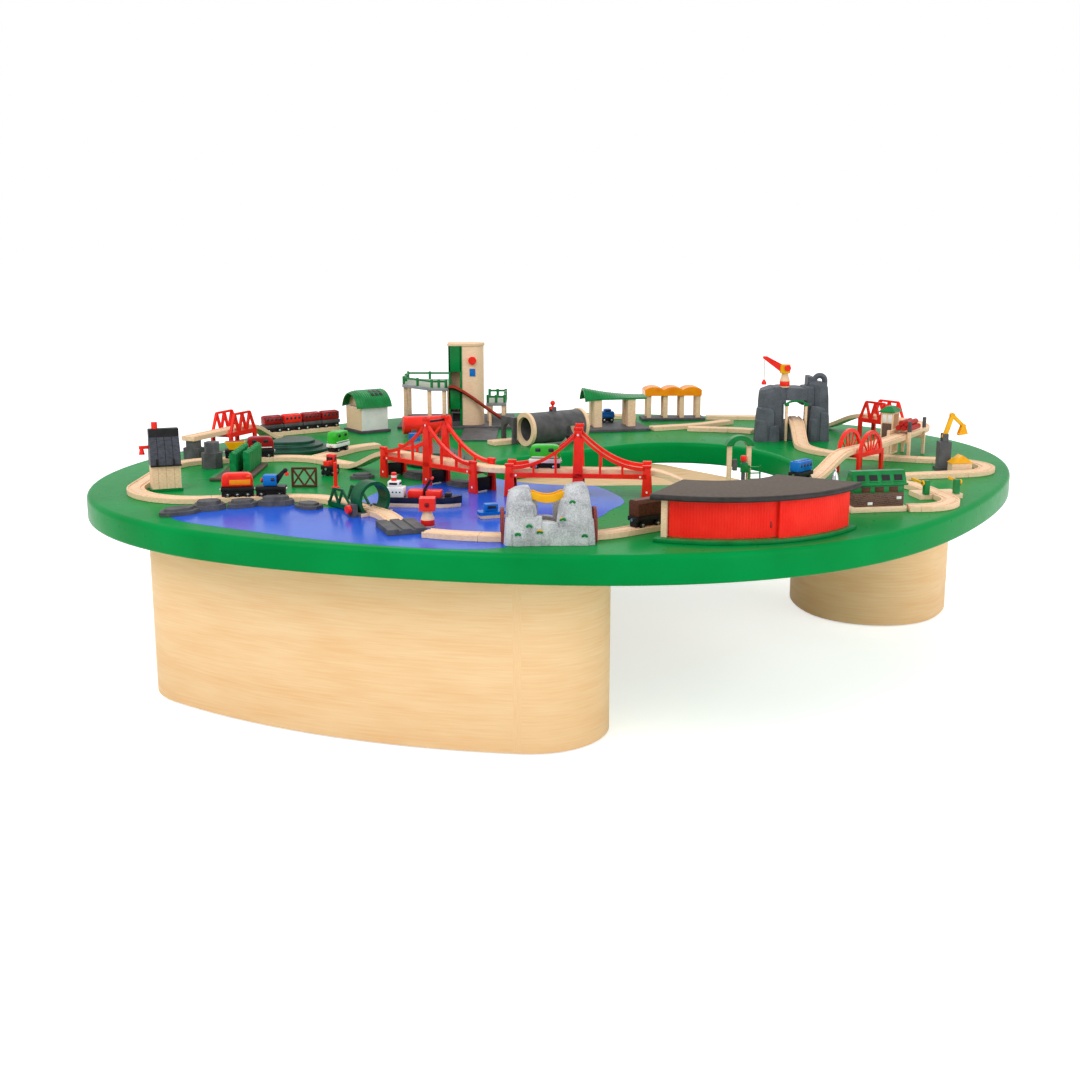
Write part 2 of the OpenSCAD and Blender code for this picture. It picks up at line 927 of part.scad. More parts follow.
// Wooden mill on a green base, with a red chimney and a red hoist at its left end
module mill_house() {
    ridge_z = 143;
    hoist_z = 98;
    color("green")
        put(mill_at)
            slab(-36, 72, 52, 0, 6);
    color("burlywood")
        put(mill_at, 6 + seat_gap)
            slab(-33, 66, 46, 0, 52);
    color("red")
        put(mill_at) {
            translate([-19, 0, ridge_z + 3 * seat_gap])
                cylinder(r = 7, h = 15);
            translate([-56, -4, hoist_z])
                cube([22 - seat_gap, 8, 7]);
            translate([-50, 0, hoist_z - 13])
                cylinder(r1 = 7, r2 = 4, h = 14);
        }
}

// Station building on its plate
module station_house() {
    color("white")
        put(station_at)
            difference() {
                slab(-44, 88, 96, plinth_h, station_eave - plinth_h);
                slab(-38, 76, 84, plinth_h + 6, station_eave);
            }
}

// Platform with a brick building on it
module platform_station() {
    color("burlywood")
        put(platform_at)
            slab(-63, 126, 45, 0, 12);
    color("firebrick")
        put(platform_at, 12 + seat_gap)
            slab(-56, 112, 38, 0, 30);
}

// Roof drawing: part of a circle of the given width and rise, from its eaves up
module arch_roof(w, rise) {
    r = (w * w / 4 + rise * rise) / (2 * rise);
    intersection() {
        translate([0, rise - r])
            circle(r, $fn = 96);
        translate([-w / 2, 0])
            square([w, rise + 1]);
    }
}

// Roofs of the mill, the stations and the canopies
module toy_roofs() {
    color("dimgray")
        put(mill_at, 58 + 2 * seat_gap)
            translate([-34, 0, 0])
                rotate([90, 0, 90])
                    linear_extrude(68)
                        polygon([[-27, 0], [27, 0], [24, 36], [10, 66],
                            [10, 85], [-10, 85], [-10, 66], [-24, 36]]);
    color("green") {
        put(station_at, station_eave + seat_gap)
            translate([-58, 0, 0])
                rotate([90, 0, 90])
                    linear_extrude(110)
                        arch_roof(122, 48);
        put(platform_at, 42 + 2 * seat_gap)
            translate([-64, 0, 0])
                rotate([90, 0, 90])
                    linear_extrude(128)
                        polygon([[-24, 0], [24, 0], [16, 22], [8, 22], [8, 46], [-8, 46], [-8, 22], [-16, 22]]);
        put(canopy_at, canopy_eave)
            translate([-95, 0, 0])
                rotate([90, 0, 90])
                    linear_extrude(190)
                        arch_roof(76, 36);
    }
    color("orange")
        put(orange_at, 78)
            upright(-34, 68) {
                translate([-94, 0])
                    square([180, 5]);
                for (x = [-56, -4, 48])
                    translate([x, 4])
                        arch_roof(52, 24);
            }
}

// Wooden posts under the canopies
module canopy_posts() {
    color("burlywood") {
        for (x = [-66, 38], y = [-34, 10])
            put(canopy_at)
                translate([x, y, plinth_h])
                    cube([24, 24, canopy_eave - plinth_h]);
        for (x = [-86, -34, 18, 70], y = [-28, 18])
            put(orange_at)
                translate([x, y, plinth_h])
                    cube([14, 10, 78 - plinth_h]);
    }
}

// Lift tower of the garage, with an open shaft in its front
module garage_tower() {
    shaft_z = 14;
    color("burlywood")
        put(garage_at)
            difference() {
                translate([-21, -28, plinth_h])
                    cube([105, 70, 239]);
                translate([shaft_x, -29, shaft_z])
                    cube([shaft_w, 41, 201]);
                translate([30, 44, 100])
                    rotate([90, 0, 0])
                        cylinder(r = 12, h = 12);
                across(lift_knob_x, -29, lift_knob_z, knob_shaft_r + pin_gap, 15);
            }
    color("wheat")
        put(garage_at, plinth_h + 239 + seat_gap)
            translate([-26, -32, 0])
                cube([115, 78, 8]);
}

// Parking deck of the garage: its outline, the height of its underside, its posts and the line of its railing
module parking_deck(outline, z, posts, rail) {
    deck_t = 10;
    post_w = 12;
    rail_h = 24;
    color("burlywood")
        put(garage_at) {
            translate([0, 0, z])
                linear_extrude(deck_t)
                    polygon(outline);
            for (p = posts)
                translate([p[0] - post_w / 2, p[1] - post_w / 2, plinth_h])
                    cube([post_w, post_w, z - plinth_h + 1]);
        }
    color("green")
        put(garage_at, z + deck_t + seat_gap) {
            for (i = [0 : len(rail) - 2]) {
                translate([0, 0, rail_h - 6])
                    linear_extrude(4)
                        bar(rail[i], rail[i + 1], 4);
                for (t = [0, 0.5])
                    translate(rail[i] * (1 - t) + rail[i + 1] * t)
                        cylinder(r = 3.5, h = rail_h);
            }
            translate(rail[len(rail) - 1])
                cylinder(r = 3.5, h = rail_h);
        }
}

// Parking decks beside and behind the lift tower
module garage_decks() {
    parking_deck(
        [[-172, 80], [-74, -25], [-23, -25], [-23, 235], [-172, 235]],
        112,
        [[-163, 92], [-163, 222], [-82, -2], [-36, -14], [-36, 222]],
        [[-28, 230], [-167, 230], [-167, 82], [-73, -20], [-30, -20]]
    );
    parking_deck(
        [[88, 60], [150, 60], [150, 235], [88, 235]],
        56,
        [[97, 69], [141, 69], [97, 226], [141, 226]],
        [[93, 65], [145, 65], [145, 230], [93, 230]]
    );
}

// Slide for cars along the front of the garage
module garage_slide() {
    high = [-20, 122];
    low = [165, 16];
    lip = [0, 8];
    color("firebrick")
        put(garage_at) {
            upright(-46, 14)
                bar(high, low, 4);
            for (y = [-46, -34])
                upright(y, 2)
                    polygon([high, low, low + lip, high + lip]);
            translate([100, -44, plinth_h])
                cube([8, 10, 41]);
        }
}

// Car of the lift
module lift_car() {
    gap = 1;
    color("gray")
        put(garage_at)
            difference() {
                translate([shaft_x + gap, -27, 14 + move_gap])
                    cube([shaft_w - 2 * gap, 38, 34]);
                translate([shaft_x + gap + 3, -28, 14 + move_gap + 4])
                    cube([shaft_w - 2 * gap - 6, 34, 26]);
            }
}

// Hand wheel of the lift
module lift_knob() {
    color("red")
        put(garage_at) {
            across(lift_knob_x, -39, lift_knob_z, 12, 10);
            across(lift_knob_x, -29.5, lift_knob_z, knob_shaft_r, 13);
        }
}

// Tank on two cradles, with a blue crate before it
module storage_tank() {
    tank_r = 26;
    tank_z = 34;
    color("red")
        put(tank_at, tank_z)
            translate([-70, 0, 0])
                rotate([0, 90, 0])
                    cylinder(r = tank_r, h = 140);
    color("dimgray")
        for (x = [-50, 34])
            put(tank_at)
                difference() {
                    slab(x, 16, 56, 0, 24);
                    translate([x - 1, 0, tank_z])
                        rotate([0, 90, 0])
                            cylinder(r = tank_r + seat_gap, h = 18);
                }
    color("dodgerblue")
        put(blue_crate_at)
            slab(-14, 28, 20, 0, 26);
}

// Log with wooden rings at its ends, a side passage and a lever bracket, and a small stone portal
module log_tunnel() {
    half_l = 85;
    ring_r = 47;
    log_out = 44;
    log_in = 34;
    color("dimgray")
        put(log_at, ring_r)
            difference() {
                union() {
                    translate([-half_l, 0, 0])
                        rotate([0, 90, 0])
                            cylinder(r = log_out, h = 2 * half_l);
                    for (y = [-10, 6])
                        translate([-6, y, log_out - 4])
                            cube([12, 4, 16]);
                    across(0, -7, lever_z - ring_r, lever_pin_r, 14);
                }
                translate([-half_l - 1, 0, 0])
                    rotate([0, 90, 0])
                        cylinder(r = log_in, h = 2 * half_l + 2);
                translate([20, -60, -ring_r])
                    cube([40, 120, 52]);
            }
    color("burlywood")
        for (x = [-half_l - 10 - seat_gap, half_l + seat_gap])
            put(log_at, ring_r)
                translate([x, 0, 0])
                    rotate([0, 90, 0])
                        difference() {
                            cylinder(r = ring_r, h = 10);
                            translate([0, 0, -1])
                                cylinder(r = log_in, h = 12);
                        }
    color("slategray")
        put(arch_grey_at)
            translate([-6, 0, 0])
                rotate([90, 0, 90])
                    linear_extrude(12)
                        difference() {
                            translate([-32, 0])
                                square([64, 76]);
                            translate([0, -1])
                                doorway(23, 35);
                        }
}

// Lever with a ball on top of the log
module tunnel_lever() {
    ball_z = 114;
    color("red")
        put(log_at) {
            difference() {
                union() {
                    across(0, -5, lever_z, 6, 10);
                    translate([0, 0, lever_z + 4])
                        cylinder(r = 3, h = ball_z - lever_z - 6);
                }
                across(0, -6, lever_z, lever_pin_r + pin_gap, 12);
            }
            translate([0, 0, ball_z])
                sphere(r = 7);
        }
}

// Part of a ring between two angles, standing from z to z plus h
module sector(r_in, r_out, from, to, z, h) {
    translate([0, 0, z])
        rotate([0, 0, from])
            rotate_extrude(angle = to - from, $fn = 96)
                translate([r_in, 0])
                    square([r_out - r_in, h]);
}

// Engine shed: plinth, right wall and the two end walls
module shed_body() {
    wall_t = 6;
    end_turn = 1.6;
    wall_h = shed_h - plinth_h + 0.5;
    color("red")
        put(shed_at) {
            sector(shed_r_in, shed_r_out + 12, shed_a0 - 2, shed_a1 + 2, 0, plinth_h);
            sector(shed_r_out - wall_t, shed_r_out, shed_split, shed_a1, plinth_h - 0.5, wall_h);
            for (a = [shed_a0, shed_a1 - end_turn - 0.4])
                sector(shed_r_in + 4, shed_r_out - 2, a, a + end_turn, plinth_h - 0.5, wall_h);
        }
}

// Grey roof of the shed
module shed_roof() {
    color("dimgray")
        put(shed_at)
            sector(150, 338, shed_a0 - 4, shed_a1 + 4, shed_h, 12);
}

// Sliding front panel of the shed
module shed_door() {
    color("red")
        put(shed_at)
            sector(shed_r_out - 14, shed_r_out - 8, shed_a0 + 2.5, shed_split + 0.5, plinth_h + move_gap,
                shed_h - plinth_h - 2 * move_gap);
}

// Gantry, signal post, lattice gate, small hut and the loading pier beside the raised line
module yard_frames() {
    gantry_h = 106;
    color("burlywood") {
        for (y = [-28, 18])
            put(gantry_at)
                translate([-5, y, 0])
                    cube([10, 10, gantry_h]);
        for (x = [-60, 52], y = [-32, 24])
            put(pier_at)
                translate([x, y, 0])
                    cube([8, 8, 72]);
        for (x = [-60, 52])
            put(pier_at)
                slab(x, 8, 50, deck_z - 8, 8);
        for (y = [-32, 24])
            put(pier_at)
                translate([-60, y, 62])
                    cube([120, 8, 8]);
    }
    color("green")
        put(gantry_at, gantry_h + seat_gap)
            translate([-11, 0, 0])
                rotate([90, 0, 90])
                    linear_extrude(22)
                        difference() {
                            arch_roof(68, 24);
                            translate([0, -1])
                                arch_roof(32, 14);
                        }
    color("red")
        put(signal_at) {
            cylinder(r = 9, h = 5);
            cylinder(r = 4.5, h = 62);
        }
    color("saddlebrown") {
        put(lattice_at)
            upright(-3, 6) {
                translate([-30, 0])
                    square([60, 5]);
                translate([-30, 42])
                    square([60, 5]);
                for (x = [-28, 0])
                    for (turn = [[0, 28], [28, 0]])
                        bar([x + turn[0], 3], [x + turn[1], 44], 4);
                for (x = [-30, 25])
                    translate([x, 0])
                        square([5, 47]);
            }
        put(pier_at)
            translate([-6, 36, 0])
                difference() {
                    cube([46, 34, 112]);
                    translate([5, -1, 5])
                        cube([36, 36, 48]);
                    translate([5, -1, 59])
                        cube([36, 36, 48]);
                }
    }
    color("burlywood")
        put(hut_at)
            slab(-26, 52, 28, 0, 24);
    color("yellow")
        put(hut_at, 24 + seat_gap)
            upright(-15, 30)
                polygon([[-29, 0], [29, 0], [0, 20]]);
}

// Level crossing plates with the two gate boxes
module crossing_base() {
    road = 60;
    color("burlywood")
        for (side = [-1, 1])
            put(crossing_at)
                translate([-road / 2, side * 36 - 15, 0])
                    cube([road, 30, 11]);
    color("green")
        for (side = [-1, 1])
            put(crossing_at, 11 + seat_gap) {
                translate([-32, side * 36 - 6, 0])
                    cube([12, 12, 32]);
                across(-26, side == 1 ? 41 : -48, gate_z, gate_pin_r, 7);
            }
}

// One gate of the crossing, on the side given
module crossing_gate(side) {
    y = side == 1 ? 42 + move_gap : -46 - move_gap;
    color("yellow")
        put(crossing_at, 11 + seat_gap)
            upright(y, 4)
                difference() {
                    union() {
                        translate([-26, gate_z - 3])
                            square([58, 6]);
                        translate([-26, gate_z])
                            circle(6);
                    }
                    translate([-26, gate_z])
                        circle(gate_pin_r + pin_gap);
                }
}

module crossing_gate_left() {
    crossing_gate(1);
}

module crossing_gate_right() {
    crossing_gate(-1);
}

// Tower of the digger with the pin for its boom
module digger_tower() {
    color("dimgray")
        put(digger_at) {
            slab(-20, 40, 40, 0, 8);
            slab(-15, 30, 30, 8, 64);
            for (y = [-12, 8])
                translate([-7, y, 72])
                    cube([14, 4, 20]);
            across(0, -8.5, boom_z, boom_pin_r, 17);
        }
}

// Boom of the digger
module digger_boom() {
    color("yellow")
        put(digger_at)
            upright(-7, 14)
                difference() {
                    union() {
                        translate([0, boom_z])
                            circle(6);
                        bar([0, boom_z], [16, boom_z + 54], 9);
                        translate([16, boom_z + 54])
                            circle(6);
                        bar([16, boom_z + 54], bucket_pin, 8);
                        translate(bucket_pin)
                            circle(5);
                    }
                    translate([0, boom_z])
                        circle(boom_pin_r + pin_gap);
                    translate(bucket_pin)
                        circle(boom_pin_r + pin_gap);
                }
}

// Bucket of the digger with its own pin
module digger_bucket() {
    cheek_t = 3;
    color("yellow")
        put(digger_at) {
            for (y = [-7 - move_gap - cheek_t, 7 + move_gap])
                upright(y, cheek_t) {
                    translate(bucket_pin)
                        circle(5);
                    polygon([bucket_pin + [-4, 0], bucket_pin + [4, 0],
                        bucket_pin + [11, -20], bucket_pin + [-12, -24]]);
                }
            across(bucket_pin[0], -8, bucket_pin[1], boom_pin_r, 16);
            upright(-8, 16)
                polygon([bucket_pin + [-12, -24], bucket_pin + [11, -20],
                    bucket_pin + [9.6, -16], bucket_pin + [-11, -20]]);
        }
}

// Wooden feet of the mountain crane and of the harbour crane
module crane_feet() {
    color("burlywood")
        for (foot = [[crane_at, crane_foot_z, crane_foot_h], [harbour_at, 0, harbour_foot_h]])
            put(foot[0], foot[1]) {
                cylinder(r = 14, h = foot[2]);
                cylinder(r = swivel_r, h = foot[2] + 10);
            }
}

// Yellow head of the mountain crane with its boom
module crane_head() {
    base_z = crane_foot_z + crane_foot_h + move_gap;
    color("gold")
        put(crane_at)
            difference() {
                union() {
                    translate([0, 0, base_z])
                        cylinder(r = 15, h = 24);
                    upright(-4, 8)
                        polygon([[4, base_z + 4], [14, base_z + 4],
                            [boom_tip_x + 5, boom_tip_z - 6], [boom_tip_x + 5, boom_tip_z],
                            [boom_tip_x - 6, boom_tip_z], [4, base_z + 22]]);
                }
                translate([0, 0, base_z - 1])
                    cylinder(r = swivel_r + pin_gap, h = 12);
                across(winch_at[0], 4, winch_at[1], winch_shaft_r + pin_gap, 20);
            }
}

// Winch wheel on the side of the crane head
module crane_winch() {
    color("red")
        put(crane_at) {
            across(winch_at[0], 16, winch_at[1], 9, 6);
            across(winch_at[0], 6, winch_at[1], winch_shaft_r, 11);
        }
}

// Hook of the crane, with its weight
module crane_hook() {
    color("red")
        put(crane_at, hook_z)
            translate([boom_tip_x, 0, 0]) {
                cylinder(r = 7, h = 6);
                translate([0, 0, 6])
                    cylinder(r1 = 7, r2 = 2.5, h = hook_h - 6);
            }
}

// String between the boom and the hook
module hoist_string() {
    color("white")
        put(crane_at, hook_z + hook_h)
            translate([boom_tip_x, 0, 0])
                cylinder(r = 1.2, h = string_top - hook_z - hook_h, $fn = 16);
}

// Red box head of the harbour crane
module harbour_head() {
    base_z = harbour_foot_h + move_gap;
    color("red")
        put(harbour_at)
            difference() {
                slab(-16, 32, 30, base_z, 26);
                translate([0, 0, base_z - 1])
                    cylinder(r = swivel_r + pin_gap, h = 12);
            }
}

// Place on the long bend at a heading
function bend_spot(heading) = [
    train_bend_at[0] - train_bend_r * sin(heading), train_bend_at[1] + train_bend_r * cos(heading), heading
];

// Underframe of a train vehicle
module underframe(half_l) {
    slab(-half_l, 2 * half_l, 19, axle_z - 4, 13);
    slab(-half_l - 1, 2 * half_l + 2, 32, axle_z + 8, floor_z - axle_z - 8);
}

// Bores for the axles of a vehicle
module axle_bores(places) {
    for (x = places)
        across(x, -10, axle_z, axle_r + pin_gap, 20);
}

// A pair of wheels on its axle
module wheel_set(x) {
    wheel_w = 4.5;
    for (y = [-gauge / 2, gauge / 2])
        across(x, y - wheel_w / 2, axle_z, wheel_r, wheel_w);
    across(x, -gauge / 2, axle_z, axle_r, gauge);
}

// Boiler, cab and chimney of a steam engine
module engine_top() {
    slab(-34, 24, 30, floor_z - 1, 34);
    slab(-37, 30, 34, floor_z + 33, 4);
    translate([-12, 0, floor_z + 11])
        rotate([0, 90, 0])
            cylinder(r = 12, h = 46);
    translate([24, 0, floor_z + 18])
        cylinder(r = 4.5, h = 18);
    translate([6, 0, floor_z + 18])
        cylinder(r = 5.5, h = 10);
}

// Long body and roof of a motor engine
module motor_top() {
    slab(-34, 68, 31, floor_z - 1, 25);
    slab(-30, 62, 25, floor_z + 23, 8);
}

// Engine of the train that runs
module cargo_engine() {
    color("red")
        put(bend_spot(engine_heading))
            difference() {
                union() {
                    underframe(35);
                    motor_top();
                }
                axle_bores(engine_axles);
            }
}

// Wagon with the pin for its crane cab
module crane_wagon() {
    color("black")
        put(bend_spot(wagon_heading))
            difference() {
                union() {
                    underframe(32);
                    translate([0, 0, floor_z - 1])
                        cylinder(r = swivel_r, h = 11);
                }
                axle_bores(wagon_axles);
            }
}

// Crane cab of the wagon
module wagon_cab() {
    cab_z = floor_z + move_gap;
    color("dodgerblue")
        put(bend_spot(wagon_heading))
            difference() {
                union() {
                    slab(-16, 30, 26, cab_z, 24);
                    upright(-3, 6)
                        polygon([[10, cab_z + 4], [16, cab_z + 4], [36, cab_z + 36],
                            [31, cab_z + 38], [8, cab_z + 20]]);
                }
                translate([0, 0, cab_z - 1])
                    cylinder(r = swivel_r + pin_gap, h = 12);
            }
}

module engine_axle(i) {
    color("black")
        put(bend_spot(engine_heading))
            wheel_set(engine_axles[i]);
}

module engine_axle_rear() {
    engine_axle(0);
}

module engine_axle_middle() {
    engine_axle(1);
}

module engine_axle_front() {
    engine_axle(2);
}

module wagon_axle(i) {
    color("black")
        put(bend_spot(wagon_heading))
            wheel_set(wagon_axles[i]);
}

module wagon_axle_rear() {
    wagon_axle(0);
}

module wagon_axle_front() {
    wagon_axle(1);
}

// A standing vehicle of one piece
module standing(place, z, half_l) {
    put(place, z - wheel_lift / 2) {
        underframe(half_l);
        for (x = [-half_l * 0.6, half_l * 0.6])
            wheel_set(x);
        children();
    }
}

// Engines, coaches and wagons that stand on the rest of the track
module parked_trains() {
    coach_l = 58;
    color("firebrick")
        for (i = [0 : 3])
            standing(metro_spot(34 + i * 63), 0, coach_l / 2)
                slab(-coach_l / 2, coach_l, 28, floor_z - 1, 26);
    color("gold")
        standing([-865, 27, 13], 0, 26)
            upright(-14, 28)
                polygon([[-26, floor_z + 20], [-16, floor_z - 1], [16, floor_z - 1], [26, floor_z + 20]]);
    color("red") {
        standing([-803, 41, 13], 0, 34)
            motor_top();
        standing(tractor_at, groove_d - track_h, 18) {
            slab(-4, 24, 16, floor_z - 1, 13);
            slab(-18, 16, 22, floor_z - 1, 26);
        }
    }
    color("limegreen") {
        standing(along(branch_at, branch_engine_s), 0, 34)
            motor_top();
        standing(bridge_2_engine, deck_z, 34)
            motor_top();
    }
    color("brown")
        standing([136, -821.4, 38], 0, 34)
            engine_top();
    color("royalblue") {
        standing([540, -306.5, 48], 0, 30)
            slab(-28, 56, 28, floor_z - 1, 18);
        standing(canopy_car, plinth_h - track_h + groove_d, 20) {
            slab(-21, 42, 26, floor_z - 1, 9);
            slab(-10, 22, 22, floor_z + 7, 9);
        }
    }
}

// Freighter and small boat on the lake
module boats() {
    hull = [[-89, -16], [-80, -22], [50, -22], [89, 0], [50, 22], [-80, 22], [-89, 16]];
    keel_h = 9;
    color("burlywood")
        put(freighter_at)
            linear_extrude(keel_h)
                polygon(hull);
    color("midnightblue")
        put(freighter_at, keel_h + seat_gap)
            linear_extrude(20 - keel_h - seat_gap)
                polygon(hull);
    color("white")
        put(freighter_at, 20 + seat_gap) {
            slab(-78, 40, 32, 0, 22);
            slab(-74, 26, 26, 22, 14);
            translate([-62, 0, 36])
                cylinder(r = 6, h = 18);
        }
    color("red")
        put(freighter_at, 20 + seat_gap)
            for (x = [-30, 10])
                slab(x, 34, 30, 0, 16);
    color("dodgerblue")
        put(boat_at) {
            linear_extrude(14)
                polygon([[-40, -15], [18, -15], [42, 0], [18, 15], [-40, 15]]);
            slab(-26, 28, 20, 14, 16);
        }
}

table_top();
lake_panel();
pedestal_front();
pedestal_right();
pedestal_rear();
pedestal_frames();
pedestal_fixings();
under_shelf();
ground_track();
raised_track();
grey_plates();
shore_rocks();
hills_and_hedges();
twin_peak_rock();
rope_bridge();
grey_mountain();
suspension_bridges();
truss_bridges();
bascule_base();
bascule_leaf();
bascule_knob();
mill_house();
station_house();
platform_station();
toy_roofs();
canopy_posts();
garage_tower();
garage_decks();
garage_slide();
lift_car();
lift_knob();
storage_tank();
log_tunnel();
tunnel_lever();
shed_body();
shed_roof();
shed_door();
yard_frames();
crossing_base();
crossing_gate_left();
crossing_gate_right();
digger_tower();
digger_boom();
digger_bucket();
crane_feet();
crane_head();
crane_winch();
crane_hook();
hoist_string();
harbour_head();
cargo_engine();
crane_wagon();
wagon_cab();
engine_axle_front();
engine_axle_middle();
engine_axle_rear();
wagon_axle_front();
wagon_axle_rear();
parked_trains();
boats();
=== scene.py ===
"""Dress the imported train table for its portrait.

The frame gives the construction: the ring-shaped top, the pedestals and the toy railway on it. This script
gives every surface its finish, shapes the top, the pedestals and most toys as smooth surfaces, and adds small
work such as battens, pins and plants. Sizes and places are millimetres. Heights count from the table's upper
face, or from the floor for the top and the pedestals. The finishes, the studio and the frame are in metres.
"""

from __future__ import annotations

import logging
import math
from dataclasses import dataclass, field
from enum import Enum
from typing import Callable, Sequence

import bmesh
import bpy
import numpy as np
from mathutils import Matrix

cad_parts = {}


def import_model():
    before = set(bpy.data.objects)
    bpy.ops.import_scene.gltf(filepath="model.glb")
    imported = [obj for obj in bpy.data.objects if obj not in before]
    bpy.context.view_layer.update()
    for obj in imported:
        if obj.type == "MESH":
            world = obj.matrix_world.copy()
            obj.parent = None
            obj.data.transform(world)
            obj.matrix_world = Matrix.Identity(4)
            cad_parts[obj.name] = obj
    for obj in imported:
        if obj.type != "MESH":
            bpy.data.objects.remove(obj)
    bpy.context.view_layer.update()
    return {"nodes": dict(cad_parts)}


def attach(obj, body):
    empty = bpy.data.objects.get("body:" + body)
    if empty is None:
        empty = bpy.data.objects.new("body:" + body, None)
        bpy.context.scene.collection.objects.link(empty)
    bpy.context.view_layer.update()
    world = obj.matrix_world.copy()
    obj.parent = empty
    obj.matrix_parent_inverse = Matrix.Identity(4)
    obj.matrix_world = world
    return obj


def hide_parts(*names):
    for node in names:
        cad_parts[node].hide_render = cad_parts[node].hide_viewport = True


LOG = logging.getLogger("train_table")
Array = np.ndarray
Colour = tuple[float, float, float]
Mask = Callable[[Array], Array]
Piece = bpy.types.Object
Socket = bpy.types.NodeSocket
MM = 0.001
TABLE_H = 440.0


def linear(colour: Colour) -> tuple[float, float, float, float]:
    """Turn a screen colour of 0 to 255 into the linear colour that a shader takes.

    Args:
        colour: red, green and blue as a screen shows them.

    Returns:
        The linear colour with full alpha.
    """
    c = np.asarray(colour, float) / 255.0
    low = c / 12.92
    high = ((c + 0.055) / 1.055) ** 2.4
    out = np.where(c <= 0.04045, low, high)
    return float(out[0]), float(out[1]), float(out[2]), 1.0


class Grain(Enum):
    """How a finish varies over its surface."""

    MOULDED = "moulded plastic"
    TIMBER = "sealed timber"
    LAMINATE = "laminate with its grain along the wall"
    ROCK = "speckled rock"
    LACQUER = "sprayed lacquer"
    BRICK = "printed brick"
    METAL = "plated metal"


@dataclass(frozen=True)
class Finish:
    """A surface finish.

    Attributes:
        name: name of the material.
        colour: main colour, 0 to 255.
        second: the colour it varies towards, 0 to 255.
        grain: the kind of variation.
        scale: size of the variation, in patterns per metre.
        rough: roughness of the shader.
        bump: height of the surface pattern, in metres.
        coat: clear coat weight.
        turn: turn of the pattern about the vertical, in degrees.
        shine: strength of the mirror reflection, 0.5 for plain plastic.
    """

    name: str
    colour: Colour
    second: Colour
    grain: Grain = Grain.MOULDED
    scale: float = 60.0
    rough: float = 0.38
    bump: float = 0.00008
    coat: float = 0.0
    turn: float = 0.0
    shine: float = 0.22

    def material(self) -> bpy.types.Material:
        """Return the material of this finish, made once."""
        made = bpy.data.materials.get(self.name)
        return made if made is not None else Shader(self).build()


